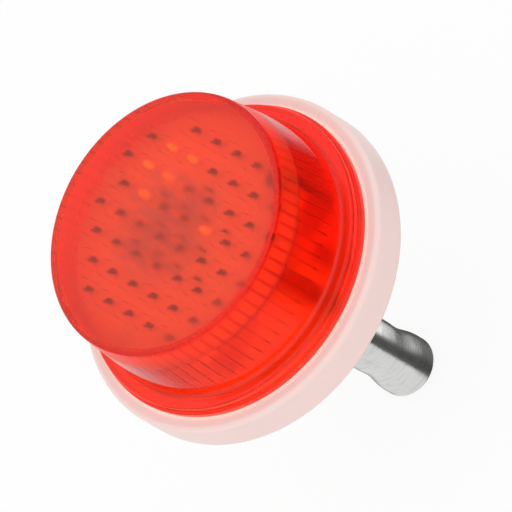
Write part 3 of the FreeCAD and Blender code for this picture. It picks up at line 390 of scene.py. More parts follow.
class Web:
    """Nodes of one material or of the world."""

    def __init__(self, owner):
        owner.use_nodes = True
        self.tree = owner.node_tree
        self.tree.nodes.clear()

    def node(self, kind, settings, sockets):
        """Adds a node of a kind and returns its outputs. Its settings come first, a ramp's stops among them,
        then the values or links of its sockets, by number or name."""
        node = self.tree.nodes.new(kind)
        for name, value in settings.items():
            if name == "stops":
                ramp = node.color_ramp
                while len(ramp.elements) < len(value):
                    ramp.elements.new(1.0)
                for element, (place, shade) in zip(ramp.elements, value):
                    element.position = place
                    element.color = (*shade, 1.0)
            else:
                setattr(node, name, value)
        for name, value in sockets.items():
            socket = node.inputs[name]
            if isinstance(value, Tone):
                self.tree.links.new(value.socket, socket)
            elif socket.type == "RGBA" and len(value) == 3:
                socket.default_value = (*value, 1.0)
            else:
                socket.default_value = value
        return [Tone(self, output) for output in node.outputs]

    def blend(self, share, first, second):
        """Colour from first to second by a share from 0 to 1."""
        return self.node("ShaderNodeMix", {"data_type": "RGBA"}, {0: share, 6: first, 7: second})[2]

    def place(self, stretch=(1.0, 1.0, 1.0), turn=(0.0, 0.0, 0.0)):
        """Object coordinates, stretched and turned."""
        here = self.node("ShaderNodeTexCoord", {}, {})[3]
        return self.node("ShaderNodeMapping", {}, {"Vector": here, "Scale": stretch, "Rotation": turn})[0]

    def axes(self, vector):
        """The three numbers of a vector."""
        return self.node("ShaderNodeSeparateXYZ", {}, {0: vector})

    def radius(self, x, y):
        """Distance from the upright axis."""
        return (x * x + y * y) ** 0.5

    def noise(self, scale, detail=2.0, roughness=0.5, distortion=0.0, **where):
        """Cloudy noise, from 0 to 1 and mostly near a half, at a place stretched and turned as place says."""
        sockets = {"Vector": self.place(**where), "Scale": scale, "Detail": detail, "Roughness": roughness,
                   "Distortion": distortion}
        return self.node("ShaderNodeTexNoise", {}, sockets)[0]

    def cells(self, scale, **where):
        """Distance to the nearest of many scattered points, at a place as for noise."""
        return self.node("ShaderNodeTexVoronoi", {}, {"Vector": self.place(**where), "Scale": scale})[0]

    def relief(self, height, distance, strength=1.0):
        """Normal of a relief of the given height."""
        sockets = {"Height": height, "Distance": distance, "Strength": strength}
        return self.node("ShaderNodeBump", {}, sockets)[0]


def surface(name, build, clear_to_lamps=False, **constants):
    """Material with one Principled shader. Build returns its varying sockets, and constants its plain ones.
    What is clear to lamps, clear epoxy and the thin frames that it holds, casts no shadow of its own and
    takes no scattered light from the board."""
    finish = bpy.data.materials.new(name)
    web = Web(finish)
    sockets = {key.replace("_", " "): value for key, value in constants.items()}
    sockets.update(build(web))
    shader = web.node("ShaderNodeBsdfPrincipled", {}, sockets)[0]
    if clear_to_lamps:
        path = web.node("ShaderNodeLightPath", {}, {})
        clear = web.node("ShaderNodeBsdfTransparent", {}, {})[0]
        for lamp_or_board_ray in (path[1], path[2]):
            shader = web.node("ShaderNodeMixShader", {}, {0: lamp_or_board_ray, 1: shader, 2: clear})[0]
    web.node("ShaderNodeOutputMaterial", {}, {0: shader})
    return finish


def clear_red(sizes):
    """Clear red plastic, polished outside and finely grained inside: a paler face, a deeper wall with its -X
    side painted paler for the light it reflects, painted shade along the face's rim and in the flutes, faint
    flow lines, a clouded patch at the middle of the face where the mould fills, fine handling marks, and a
    painted glow."""
    rim_shade_red, flow_red, flute_shade_red = (0.80, 0.0, 0.0), (1.0, 0.02, 0.0), (0.50, 0.0, 0.0)
    mould_cloud, scattered = (0.56, 0.13, 0.10), (1.0, 0.06, 0.0)
    drum, roof = sizes.drum_radius, FACE - sizes.face_thickness
    face_edge, low = drum - sizes.draft, FRONT + sizes.ring_height + sizes.flute_start

    def build(web):
        x, y, z = web.axes(web.place())
        out = web.radius(x, y)
        # red of the wall and the face; the wall's -X side painted paler for the light it reflects, and
        # painted shade along the face's rim
        front = z.step(FACE - 0.0045, FACE - 0.0005) * out.step(drum - 0.0022, 0.036)
        flow = web.noise(90.0, 3.0, stretch=(1.0, 1.0, 0.25))
        # painted light: the -X side of the wall painted paler, for reflected light
        painted_lit_side = (x * 0.8 - y * 0.2).step(0.030, -0.012)
        wall = web.blend(painted_lit_side, tuple(sizes.wall_colour), tuple(sizes.wall_lit_side))
        shade = web.blend(front, wall, tuple(sizes.face_colour))
        # painted shade: a darker red along the rounded rim of the face
        rim = out.step(face_edge - 0.0016, face_edge - 0.0006) * z.step(FACE - 0.0035, FACE - 0.0015)
        shade = web.blend(rim * 0.6, shade, rim_shade_red)
        shade = web.blend(flow.step(0.35, 0.75) * 0.10, shade, flow_red)
        # cloud in the middle of the face
        gate = web.noise(420.0, 3.0, 0.6, stretch=(1.0, 0.35, 1.0), turn=(0.0, 0.0, 0.9))
        gate = gate.step(0.36, 0.60) * out.step(0.024, 0.008) * front
        shade = web.blend(gate * 0.75, shade, mould_cloud)
        clouded = out.step(0.021, 0.009) * front
        # handling marks outside, and grain inside
        marks = web.noise(220.0, 2.0, stretch=(1.0, 14.0, 1.0), turn=(0.0, 0.0, 0.7))
        inner = out.step(drum - 0.0012, drum - 0.0018)
        within = inner * z.step(FACE - 0.0016, FACE - 0.0019)
        roughness = 0.022 + marks.step(0.55, 0.8) * 0.05 + within * (0.35 - front * 0.20 + clouded * 0.26)
        roughness = roughness + within * out.step(0.030, 0.035) * z.step(roof - 0.0004, roof - 0.0001) * 0.16
        # flutes, and a painted glow: emission that stands in for light scattered in the ring, in the wall
        # beside the LEDs and faintly all over the lens
        flute = (y.math("ARCTAN2", y, x) * sizes.flutes).wave().step(0.45, 1.0)
        flute = flute * inner * z.step(low, low + 0.0004) * z.step(roof - 0.0001, roof - 0.0004)
        # painted shade: darker red in the flutes
        shade = web.blend(flute * 0.34, shade, flute_shade_red)
        ripple = web.noise(260.0, 2.0) + web.noise(1500.0, 1.0) * 0.15
        ring = out.step(drum - 0.0004, drum + 0.0004)
        beside = z.step(BOARD_TOP + 0.0012, BOARD_TOP + 0.0032) * z.step(FACE - 0.0006, FACE - 0.0030)
        beside = beside * out.step(drum - 0.0036, drum - 0.0030) * (1 - ring)
        glow = web.blend(ring * 0.32 + beside * (0.80 - flute * 0.6) + 0.1, BLACK, scattered)
        return {"Base Color": shade, "Roughness": roughness, "Emission Color": glow,
                "Normal": web.relief(ripple, 0.00004, 0.6)}
    # the emission is a painted glow; the lens is no lamp
    return surface("red_lens", build, Transmission_Weight=0.93, IOR=1.49, Emission_Strength=0.3,
                   Specular_IOR_Level=0.2)


def milky():
    """Milky white plastic, painted pink for the red light from the lens: pinkest beside the ring, paler at
    the rim.
    """
    rim_lit_pink, ring_lit_pink, inside_white = (0.92, 0.71, 0.68), (0.98, 0.71, 0.64), (0.86, 0.82, 0.79)
    painted_red_glow, painted_edge_highlight = (0.12, 0.07, 0.05), (0.30, 0.24, 0.18)

    def build(web):
        x, y, z = web.axes(web.place())
        out = web.radius(x, y)
        # painted light: the white base painted pink for the lens's red light, pinkest beside the ring
        near = out.step(FLANGE, RING - 0.004)
        cloud = web.noise(45.0, 3.0)
        shade = web.blend(near * 0.7 + cloud.step(0.3, 0.8) * 0.3, rim_lit_pink, ring_lit_pink)
        inside = out.step(RING - 0.002, RING - 0.005)
        edge = out.step(RING + 0.0012, RING + 0.0003)
        # painted glow beside the ring, for the lens's red light
        glow = web.blend(near * (1 - inside) * out.step(RING - 0.003, RING), BLACK, painted_red_glow)
        # painted highlight: a pale glow along the front edge just outside the ring
        glow = web.blend(edge * z.step(FRONT - 0.0003, FRONT) * (1 - inside), glow, painted_edge_highlight)
        shade = web.blend(inside, shade, inside_white)
        grain = web.noise(2600.0, 2.0)
        roughness = 0.34 + cloud.step(0.3, 0.8) * 0.10
        return {"Base Color": shade, "Roughness": roughness, "Emission Color": glow,
                "Normal": web.relief(grain, 0.00002, 0.35)}
    return surface("pale_base", build, Subsurface_Weight=0.25, Subsurface_Scale=0.002,
                   Subsurface_Radius=(1.0, 0.45, 0.35), IOR=1.5, Emission_Strength=1.0)


def turned_zinc(sizes):
    """Zinc plate on a turned stem: lathe rings as a wave in radians per metre, long dull streaks, and a fine
    speckle."""
    lathe_rings = 9000.0

    def build(web):
        z = web.axes(web.place())[2]
        streak = web.noise(95.0, 3.0, 0.55, 0.4, stretch=(1.0, 1.0, 0.16))
        speckle = web.noise(900.0, 3.0, 0.7, stretch=(1.0, 1.0, 0.5))
        patch = web.cells(420.0, stretch=(1.0, 1.0, 0.6))
        worn = web.noise(420.0, 3.0, 0.6, stretch=(0.35, 0.35, 1.6))
        dull = streak.step(0.50, 0.72) * 0.35 + worn.step(0.45, 0.75) * 0.20 + speckle.step(0.55, 0.8) * 0.20
        shade = web.blend(dull, tuple(sizes.bright), tuple(sizes.dull))
        rings = (z * lathe_rings + speckle * 3.0).wave()
        roughness = 0.16 + patch * 0.10 + dull * 0.16
        uneven = web.noise(330.0, 2.0, stretch=(1.0, 1.0, 0.5))
        height = rings * 0.4 + speckle * 1.2 + patch * 0.8 + uneven * 5.0
        return {"Base Color": shade, "Roughness": roughness, "Normal": web.relief(height, 0.00003, 0.5)}
    return surface("stem_steel", build, Metallic=1.0)


def plated(name, bright, dull, roughness, scale=260.0, clear_to_lamps=False, painted_board_reflection_below=None):
    """Plated or bare metal with a cloudy tarnish and a brushed relief. Below a given height it is painted
    pale, a painted reflection of the white board's light, over the height of a leg's end."""
    def build(web):
        cloud = web.noise(scale, 4.0, 0.6)
        brush = web.noise(scale * 3, 2.0, stretch=(1.0, 1.0, 20.0))
        shade = web.blend(cloud.step(0.42, 0.72), bright, dull)
        if painted_board_reflection_below is not None:
            # painted reflection: the frames' low ends painted pale for the white board's light
            height = web.axes(web.place())[2]
            shade = web.blend(height.step(painted_board_reflection_below + 0.0009, painted_board_reflection_below), shade, (0.95, 0.90, 0.88))
        return {"Base Color": shade, "Roughness": roughness + cloud * 0.18,
                "Normal": web.relief(brush + cloud, 0.00003, 0.4)}
    return surface(name, build, clear_to_lamps, Metallic=1.0)


def moulded(name, light, dark, roughness, scale=700.0, depth=0.00003, coat=0.0):
    """Moulded plastic, rubber or nylon: a slight cloud in its colour and a fine texture from the mould."""
    def build(web):
        cloud = web.noise(scale / 12, 3.0)
        grain = web.noise(scale, 3.0, 0.6)
        pores = web.cells(scale * 1.6)
        shade = web.blend(cloud.step(0.35, 0.7) * 0.6 + grain.step(0.4, 0.8) * 0.4, light, dark)
        return {"Base Color": shade, "Roughness": roughness + grain * 0.12,
                "Normal": web.relief(grain + pores * 0.5, depth, 0.5)}
    return surface(name, build, Coat_Weight=coat)


def tinted_epoxy(sizes):
    """Clear tinted epoxy, with faint cloudiness low in the body."""
    def build(web):
        z = web.axes(web.place())[2]
        haze = web.noise(500.0, 2.0)
        low = z.step(BOARD_TOP + 0.004, BOARD_TOP)
        pale = tuple(value + (1.0 - value) * 0.3 for value in sizes.epoxy)
        return {"Base Color": web.blend(low * 0.6 + haze.step(0.4, 0.8) * 0.2, pale, tuple(sizes.epoxy)),
                "Roughness": 0.02 + low * 0.05 + haze * 0.02}
    return surface("led_epoxy", build, Transmission_Weight=1.0, IOR=1.03, clear_to_lamps=True)


def laminate():
    """White solder mask on glass laminate: the weave shows through, with raised tracks between the pads.
    Weave and tracks are waves, given in radians per metre."""
    weaves, tracks = 9000.0, 1444.0

    def build(web):
        x, y, z = web.axes(web.place())
        weave = (x * weaves).wave() * (y * weaves).wave()
        track = ((x * 0.5 + y * 0.866) * tracks).wave().step(0.86, 0.94)
        side = z.step(BOARD_TOP - 0.0001, BOARD_TOP - 0.0003)
        side = side * z.step(BOARD_FOOT + 0.0001, BOARD_FOOT + 0.0003)
        cloud = web.noise(60.0, 3.0)
        shade = web.blend(cloud.step(0.3, 0.8) * 0.5 + track * 0.25, (0.93, 0.92, 0.90), (0.85, 0.84, 0.80))
        shade = web.blend(side, shade, (0.62, 0.58, 0.36))
        return {"Base Color": shade, "Roughness": 0.32 + cloud * 0.15,
                "Normal": web.relief(weave * 0.25 + track * 2.0, 0.00002, 0.5)}
    return surface("board_laminate", build)


def cell_film():
    """Battery cell: a plain dark shrink film with a plain paler band, and bare nickel ends."""
    film_end, band_start, edge = 0.0206, 0.0150, 0.0002

    def build(web):
        x = web.axes(web.place())[0]
        ends = abs(x).step(film_end, film_end + edge)
        band = abs(x).step(band_start, band_start + edge)
        crease = web.noise(400.0, 2.0, stretch=(0.3, 1.0, 1.0))
        film = web.blend(band, (0.03, 0.033, 0.04), (0.55, 0.36, 0.10))
        shade = web.blend(ends, film, (0.72, 0.71, 0.68))
        return {"Base Color": shade, "Metallic": ends * 0.7 + 0.3, "Roughness": 0.24 + crease * 0.15,
                "Normal": web.relief(crease, 0.00004, 0.4)}
    return surface("cell_jacket", build)


def foam():
    """White closed-cell foam: round cells of two sizes, matt."""
    def build(web):
        cell = web.cells(1500.0)
        small = web.cells(4200.0)
        cloud = web.noise(160.0, 3.0)
        shade = web.blend(cell.step(0.5, 0.1) * 0.5 + cloud * 0.3, (0.90, 0.89, 0.86), (0.70, 0.69, 0.64))
        return {"Base Color": shade, "Roughness": 0.85 + cloud * 0.1,
                "Normal": web.relief(cell + small * 0.4, 0.0002, 0.7)}
    return surface("pad_foam", build, Sheen_Weight=0.15)


def glowing(sizes):
    """LED die and its phosphor with a painted glow where they catch the light: orange, a little brighter in
    the middle.
    """
    def build(web):
        grain = web.noise(1800.0, 2.0)
        shade = web.blend(grain.step(0.3, 0.7), tuple(sizes.lit), (1.0, 0.62, 0.0))
        return {"Base Color": shade, "Emission Color": shade, "Roughness": 0.5 + grain * 0.2}
    return surface("lit_dice", build, Emission_Strength=1.7)


# --- pieces ------------------------------------------------------------------------------------------------

def lens_profile(sizes):
    """Outline of the lens from the middle of its face, down the outside, and up the inside to the middle of
    the roof, as (radius, height)."""
    base, top = sizes.drum_radius, sizes.drum_radius - sizes.draft
    inside, roof = base - sizes.wall, FACE - sizes.face_thickness
    ring_top, step_top = FRONT + sizes.ring_height, FRONT + sizes.step_height
    upper, seat = RING - sizes.step, FRONT + 0.00006
    low = ring_top + sizes.flute_start
    slope = sizes.draft / (roof - ring_top)
    wall = [(inside - slope * (height - ring_top), height) for height in (low, low + 0.0002, roof)]
    corners = [(0, FACE), (top, FACE), (base, ring_top), (upper, ring_top), (upper, step_top),
               (RING, step_top), (RING, seat), (base, seat), (base, SKIRT), (inside, SKIRT),
               (inside, ring_top), *wall, (0, roof)]
    radii = [0, sizes.face_round, 0.0012, 0.001, 0.0003, 0.0003, 0.0003, 0.0002, 0.0004, 0.0004,
             0, 0, 0, 0.0003, 0]
    return rounded(corners, radii)


def flutes(sizes, profile):
    """Angles of the drum's columns, and how far each point of the inner wall is pushed out: by the flute
    depth where a column lies in a flute, as half a cosine wave across the flute's width."""
    inside, roof = sizes.drum_radius - sizes.wall, FACE - sizes.face_thickness
    low = FRONT + sizes.ring_height + sizes.flute_start
    period, half = 2 * math.pi / sizes.flutes, sizes.flute_width / (2 * inside)
    gap = period - 2 * half
    spread = np.concatenate([np.linspace(-half, half, 9), half + gap * np.array([0.25, 0.5, 0.75])])
    angles = (np.arange(sizes.flutes)[:, None] * period + spread).ravel()
    hollow = np.where(np.abs(spread) <= half, (1 + np.cos(np.pi * spread / half)) / 2, 0)
    radius, height = profile.T
    fluted = (radius < inside - 1e-6) & (radius > 0.02) & (height > low + 0.0001) & (height < roof - 1e-6)
    return angles, sizes.flute_depth * fluted[:, None] * np.tile(hollow, sizes.flutes)


def lens_lugs(sizes):
    """Three twist-lock lugs: short arcs of a rounded rectangle, let into the skirt."""
    inner, reach = sizes.drum_radius - 0.0004, sizes.drum_radius + sizes.lug_reach
    high = FRONT - sizes.lug_drop
    low = high - sizes.lug_height
    section = rounded([(inner, high), (reach, high), (reach, low), (inner, low), (inner, high)],
                      [0, 0.0003, 0.0003, 0, 0], 3)[:-1]
    sweep = np.linspace(-sizes.lug_angle / 2, sizes.lug_angle / 2, 13)
    rings = np.stack([section[:, 0] * np.cos(sweep)[:, None], section[:, 0] * np.sin(sweep)[:, None],
                      np.broadcast_to(section[:, 1], (len(sweep), len(section)))], -1)
    lug = facing_out(stacked(rings, rings[0].mean(0), rings[-1].mean(0)))
    return [repeated(lug, [(0, 0, 0)], turn) for turn in all_round(3)]


def make_lens(sizes):
    """Drum lens: its profile turned round the axis, with the flutes as its swell, and the lugs."""
    profile = lens_profile(sizes)
    drum = facing_out(turned(profile, *flutes(sizes, profile)))
    lens = gathered(drum, *lens_lugs(sizes))
    piece("lens_drum", lens, clear_red(sizes), "lens", ("lens_cover",))


def make_stem(sizes):
    """Turned stem: its profile turned round the axis. On the stud the radius falls by the thread depth in a
    triangle wave of (height / pitch - angle / full turn)."""
    end_top, waist_height, shank_foot = 0.006, 0.013, 0.019
    seal, collar, bevel, stud_rings = 0.0015, 0.004, 0.0008, 100
    collar_top = SEAT - seal
    collar_foot = collar_top - collar
    stud = sizes.stud_radius
    corners = [(0, 0), (sizes.end_radius, 0), (sizes.end_radius, end_top), (sizes.waist_radius, waist_height),
               (sizes.shank_radius, shank_foot), (sizes.shank_radius, collar_foot),
               (sizes.collar_radius, collar_foot), (sizes.collar_radius, collar_top), (stud, collar_top)]
    lower = rounded(corners, [0, 0.0018, 0.020, 0.022, 0.022, 0.0005, 0.0006, 0.0004, 0], 12)
    heights = np.linspace(collar_top + 0.0002, STUD_END - bevel, stud_rings)
    end = np.array([(stud - bevel, STUD_END), (0, STUD_END)])
    profile = np.concatenate([lower, np.stack([np.full(stud_rings, stud), heights], -1), end])
    angles = all_round(96)
    turn = profile[:, 1:] / sizes.thread_pitch - angles / (2 * math.pi)
    wave = np.abs(2 * (turn - np.floor(turn)) - 1)
    threaded = (profile[:, 1] > collar_top + 0.0012) & (profile[:, 1] < STUD_END - 0.0001)
    swell = -sizes.thread_depth * wave * threaded[:, None]
    piece("turned_stem", facing_out(turned(profile, angles, swell)), turned_zinc(sizes), "base",
          ("mount_stem",))


def make_led_bodies(sizes, spots):
    """LED bodies: a foot ring, a straight wall, and a half-round dome turned about each LED's axis."""
    body, foot, above_board = sizes.body_radius, sizes.foot_radius, 0.00005
    lift = np.linspace(0, math.pi / 2, 7)
    dome = np.stack([body * np.cos(lift), sizes.body_height - body + body * np.sin(lift)], -1)
    dome[-1, 0] = 0.0
    profile = np.concatenate([[(0, above_board), (foot, above_board), (foot, sizes.foot_height),
                               (body, sizes.foot_height)], dome])
    epoxy = facing_out(turned(profile, all_round(24)))
    piece("led_bodies", repeated(epoxy, spots), tinted_epoxy(sizes), "base", ("led_lamps",))


def make_lead_frames(sizes, spots):
    """Lead frames: a wide anvil with a cup for the chip and a slim post, each on its own leg."""
    foot, half, tail = sizes.frame_foot, sizes.leg_pitch / 2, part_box("led_legs")[0].z - BOARD_TOP
    side, post_y = 0.00025, 0.00110
    anvil = bar([(tail, side, side, -half), (foot - 0.0002, side, side, -half),
                 (foot + 0.0002, 0.00060, 0.00068, ANVIL_Y), (foot + 0.0024, 0.00064, 0.00072, ANVIL_Y),
                 (foot + 0.0026, 0.00058, 0.00068, ANVIL_Y), (foot + 0.0026, 0.00046, 0.0006, ANVIL_Y),
                 (foot + 0.0023, 0.0003, 0.00035, ANVIL_Y)])
    post = bar([(tail, side, side, half), (foot - 0.0002, side, side, half),
                (foot + 0.0003, 0.00026, 0.00030, post_y), (foot + 0.0018, 0.00026, 0.00030, post_y),
                (foot + 0.0021, 0.00022, 0.00018, post_y - 0.0001)])
    metal = plated("led_frames", (0.22, 0.22, 0.25), (0.12, 0.12, 0.14), 0.42, scale=900.0,
                   clear_to_lamps=True, painted_board_reflection_below=BOARD_TOP + foot + 0.0003)
    frames = repeated(gathered(anvil, post), spots, sizes.turn)
    piece("led_frames", frames, metal, "base", ("led_legs",))


def make_dice(sizes, spots):
    """Dice in the cups, grey but for six with a painted glow. The six are placed by rows and half LED
    pitches.
    """
    foot, pitch = sizes.frame_foot, 0.0087
    rows_and_halves = np.array([(2.5, 4), (2.5, 2), (1.5, 5), (1.5, 3), (0.5, 4), (0.5, -2)])
    wanted = rows_and_halves * (pitch * math.sin(math.pi / 3), pitch / 2)
    nearest = np.linalg.norm(spots[None, :, :2] - wanted[:, None], axis=-1).argmin(1)
    lit = np.isin(np.arange(len(spots)), nearest)
    die = bar([(foot + 0.00235, 0.0002, 0.0002, ANVIL_Y), (foot + 0.0026, 0.0002, 0.0002, ANVIL_Y)], 8)
    piece("led_dice", repeated(die, spots[~lit], sizes.turn),
          moulded("die_grey", (0.30, 0.22, 0.12), (0.18, 0.13, 0.09), 0.3), "base")
    glow = bar([(foot + 0.0008, 0.0007, 0.0008, ANVIL_Y), (foot + 0.0024, 0.00076, 0.00086, ANVIL_Y),
                (foot + 0.0032, 0.00076, 0.00083, ANVIL_Y), (foot + 0.0036, 0.0005, 0.0006, ANVIL_Y)],
               power=0.6)
    piece("lit_dice", repeated(glow, spots[lit], sizes.turn), glowing(sizes), "base")


def make_leds(sizes):
    """Bodies, lead frames and dice, on every LED axis of the board."""
    centres = led_centres()
    spots = np.column_stack([centres, np.full(len(centres), BOARD_TOP)])
    make_led_bodies(sizes, spots)
    make_lead_frames(sizes, spots)
    make_dice(sizes, spots)


def make_resistors(dark, tin):
    """Resistors with tinned ends, each on the box of its CAD solid."""
    centres, size = boxes_of("board_resistors")
    x, y, z = size / 2
    chip = bar([(-z * 0.9, x * 0.97, y * 0.96, 0), (z * 0.8, x * 0.97, y * 0.96, 0),
                (z * 0.92, x * 0.9, y * 0.92, 0)], 16, CHIP_POWER)
    cap = bar([(-z, x, y * 0.17, 0), (z * 0.9, x, y * 0.17, 0), (z, x * 0.94, y * 0.15, 0)], 12, CHIP_POWER)
    caps = [repeated(cap, centres + np.array([0, way * y * 0.83, 0])) for way in (-1, 1)]
    piece("resistor_bodies", repeated(chip, centres), dark, "base", ("board_resistors",))
    piece("resistor_ends", gathered(*caps), tin, "base")


def make_transistors(dark, tin):
    """Transistors with three leads, each on the box of its CAD solid."""
    centres, size = boxes_of("board_transistors")
    x, y, z = size / 2
    body = bar([(-z * 0.9, x * 0.62, y * 0.98, 0), (0, x * 0.7, y, 0), (z * 0.92, x * 0.6, y * 0.92, 0),
                (z, x * 0.55, y * 0.88, 0)], 16, CHIP_POWER)
    leg = bar([(-z, 0.0004, 0.0002, 0), (-z * 0.75, 0.0004, 0.0002, 0), (-z * 0.1, 0.00018, 0.0002, 0)],
              8, 0.3)
    reach, spacing = x - 0.0004, 0.00095
    places = ((-reach, -spacing), (-reach, spacing), (reach, 0.0))
    legs = [repeated(leg, centres + np.array([*place, 0])) for place in places]
    piece("transistor_bodies", repeated(body, centres), dark, "base", ("board_transistors",))
    piece("transistor_legs", gathered(*legs), tin, "base")


def make_board_parts():
    """Small parts of the LED board."""
    dark = moulded("chip_black", (0.035, 0.035, 0.04), (0.02, 0.02, 0.022), 0.42)
    tin = plated("chip_ends", (0.74, 0.74, 0.72), (0.55, 0.55, 0.54), 0.30, 900.0)
    make_resistors(dark, tin)
    make_transistors(dark, tin)
    finish_nodes(dark, "driver_chip")


def make_pad():
    """Foam pad over the cells: rounded rectangular rings carried from the middle of its underside, over its
    edge, to the middle of its crowned top. The underside rises where it rests on each cell."""
    low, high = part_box("cell_pad")
    middle, half = (low + high) / 2, (high - low) / 2
    across, along = squarish(all_round(96), 0.16)
    inwards, crown, cell_pitch, cell_press = np.linspace(0.97, 0.06, 16), 0.12, 0.0115, 0.00035
    share = np.concatenate([inwards[::-1], [0.985, 0.998, 1.0, 0.998, 0.985], inwards])
    height = np.concatenate([np.full(16, -1.0), [-0.9, -0.6, 0.0, 0.57, 0.882], 1.0 - crown * inwards ** 6])
    x = middle.x + half.x * share[:, None] * across
    y = middle.y + half.y * share[:, None] * along
    z = middle.z + half.z * np.broadcast_to(height[:, None], x.shape)
    press = np.cos(np.pi * ((y / cell_pitch + 0.5) % 1.0 - 0.5)) * cell_press
    z = np.where((height < -0.95)[:, None], z + press, z)
    rings = np.stack([x, y, z], -1)
    pad = facing_out(stacked(rings, rings[0].mean(0), rings[-1].mean(0)))
    made = piece("foam_pad", pad, foam(), "base", ("cell_pad",))


def finish_frame():
    """Finishes of the CAD nodes that keep their shape."""
    finish_nodes(milky(), "base_housing")
    zinc = plated("zinc_hardware", (0.68, 0.68, 0.66), (0.50, 0.50, 0.46), 0.26)
    finish_nodes(zinc, "backing_washer", "lock_washer", "stem_nut", "back_screws", "switch_screws")
    finish_nodes(plated("brass_standoff", (0.80, 0.62, 0.30), (0.62, 0.46, 0.20), 0.22), "board_standoffs")
    finish_nodes(plated("tinned_metal", (0.74, 0.74, 0.72), (0.56, 0.56, 0.54), 0.28),
                 "plate_contacts", "leaf_contacts")
    finish_nodes(moulded("white_nylon", (0.90, 0.89, 0.86), (0.84, 0.83, 0.79), 0.38), "board_screws")
    finish_nodes(laminate(), "led_board", "switch_board")
    finish_nodes(moulded("tray_plastic", (0.90, 0.90, 0.88), (0.83, 0.83, 0.80), 0.42), "battery_tray")
    finish_nodes(cell_film(), "battery_cell_1", "battery_cell_2", "battery_cell_3", "battery_cell_4")
    finish_nodes(moulded("black_rubber", (0.030, 0.030, 0.032), (0.018, 0.018, 0.018), 0.62, 1400.0),
                 "stem_seal")
    finish_nodes(moulded("clear_silicone", (0.86, 0.84, 0.80), (0.80, 0.78, 0.74), 0.40), "lens_gasket")
    finish_nodes(moulded("button_red", (0.55, 0.030, 0.022), (0.42, 0.018, 0.014), 0.52, 1500.0),
                 "power_button")
    finish_nodes(moulded("switch_black", (0.045, 0.045, 0.047), (0.03, 0.03, 0.03), 0.38),
                 "switch_plunger", "push_switch")
    finish_nodes(moulded("wire_black", (0.030, 0.030, 0.032), (0.02, 0.02, 0.02), 0.36, 900.0),
                 "wire_tray", "wire_feed", "wire_switch")


# --- stage -------------------------------------------------------------------------------------------------

def light_round(sizes):
    """World: white behind everything, even light on matt surfaces, and for reflections a soft studio with a
    dark side, so that metal and clear plastic show form."""
    world = bpy.data.worlds.new("studio")
    bpy.context.scene.world = world
    web = Web(world)
    way = web.node("ShaderNodeTexCoord", {}, {})[0]
    path = web.node("ShaderNodeLightPath", {}, {})

    def lobe(x, y, z, edge, core):
        """Soft round patch of the sky about a direction: full inside core degrees, gone at edge degrees."""
        size = math.sqrt(x * x + y * y + z * z)
        cosine = web.node("ShaderNodeVectorMath", {"operation": "DOT_PRODUCT"},
                          {0: way, 1: (x / size, y / size, z / size)})[1]
        return cosine.step(math.cos(math.radians(edge)), math.cos(math.radians(core)))

    plain, brighter_behind, darkness, overhead = 0.42, 0.45, 0.04, 0.78
    dark = lobe(0.56, -0.39, -0.73, 58.0, 40.0)
    behind = lobe(0.0, 0.67, -0.74, 56.0, 30.0)
    seen = (plain + behind * brighter_behind) * (1 - dark) + dark * darkness
    above = web.axes(way)[2].step(0.0, 0.5)
    seen = seen * (1 - above) + above * overhead
    camera, glossy, passing = path[0], path[3], path[6]
    strength = sizes.fill * (1 - glossy) + seen * glossy
    strength = strength * (1 - passing) + sizes.inside * passing
    strength = strength * (1 - camera) + camera
    shader = web.node("ShaderNodeBackground", {}, {"Color": WHITE, "Strength": strength})[0]
    web.node("ShaderNodeOutputWorld", {}, {0: shader})


def stage_mesh(name, points, faces, finish):
    """Object of the stage, with a finish."""
    mesh = bpy.data.meshes.new(name)
    mesh.from_pydata(points, [], faces)
    mesh.materials.append(finish)
    return in_scene(name, mesh)


def lay_floor():
    """Pale floor under the stem's free end. It keeps a light shadow, turns to plain white further out, and
    is clear from below."""
    finish = bpy.data.materials.new("pale_floor")
    web = Web(finish)
    x, y = web.axes(web.place())[:2]
    camera = web.node("ShaderNodeLightPath", {}, {})[0]
    under = web.node("ShaderNodeNewGeometry", {}, {})[6]
    far = web.radius(x, y).step(0.12, 0.45)
    matt = web.node("ShaderNodeBsdfDiffuse", {}, {"Color": (0.93, 0.93, 0.93)})[0]
    white = web.node("ShaderNodeEmission", {}, {"Color": WHITE, "Strength": 1.0})[0]
    clear = web.node("ShaderNodeBsdfTransparent", {}, {})[0]
    share = camera * (0.86 + far * 0.14)
    top = web.node("ShaderNodeMixShader", {}, {0: share, 1: matt, 2: white})[0]
    shader = web.node("ShaderNodeMixShader", {}, {0: under, 1: top, 2: clear})[0]
    web.node("ShaderNodeOutputMaterial", {}, {0: shader})
    reach = 40
    corners = [(-reach, -reach, 0), (reach, -reach, 0), (reach, reach, 0), (-reach, reach, 0)]
    floor = stage_mesh("floor", corners, [(0, 1, 2, 3)], finish)
    floor.visible_glossy = False
    floor.visible_transmission = False


def hang_lamp(name, shape, size, power, place):
    """Flat lamp that lights matt surfaces only."""
    data = bpy.data.lights.new(name, "AREA")
    data.shape, data.size, data.energy = shape, size, power
    lamp = in_scene(name, data)
    lamp.location = place
    lamp.visible_camera = lamp.visible_glossy = lamp.visible_transmission = False
    return lamp


def hang_key_lamp(power):
    """Large square lamp above the lens, a little to one side, that looks at the base."""
    place = Vector((-0.3, -0.3, 1.3))
    lamp = hang_lamp("key", "SQUARE", 0.9, power, place)
    lamp.rotation_mode = "QUATERNION"
    lamp.rotation_quaternion = (place - Vector((0, 0, 0.08))).to_track_quat("Z", "Y")


def hang_room_lamps(power):
    """Round lamps inside the lens: under its face and under the LED board, looking down, and over the base's
    floor, looking up. They stand for light that has bounced many times between the white pieces there, and
    light matt surfaces only."""
    for name, height, turn, share in (("room_face", FACE - 0.0022, 0.0, 0.20),
                                      ("room_top", BOARD_FOOT - 0.0004, 0.0, 0.8),
                                      ("room_floor", SEAT + 0.0045, math.pi, 1.0)):
        lamp = hang_lamp(name, "DISK", 0.072, power * share, (0, 0, height))
        lamp.rotation_euler = (turn, 0, 0)


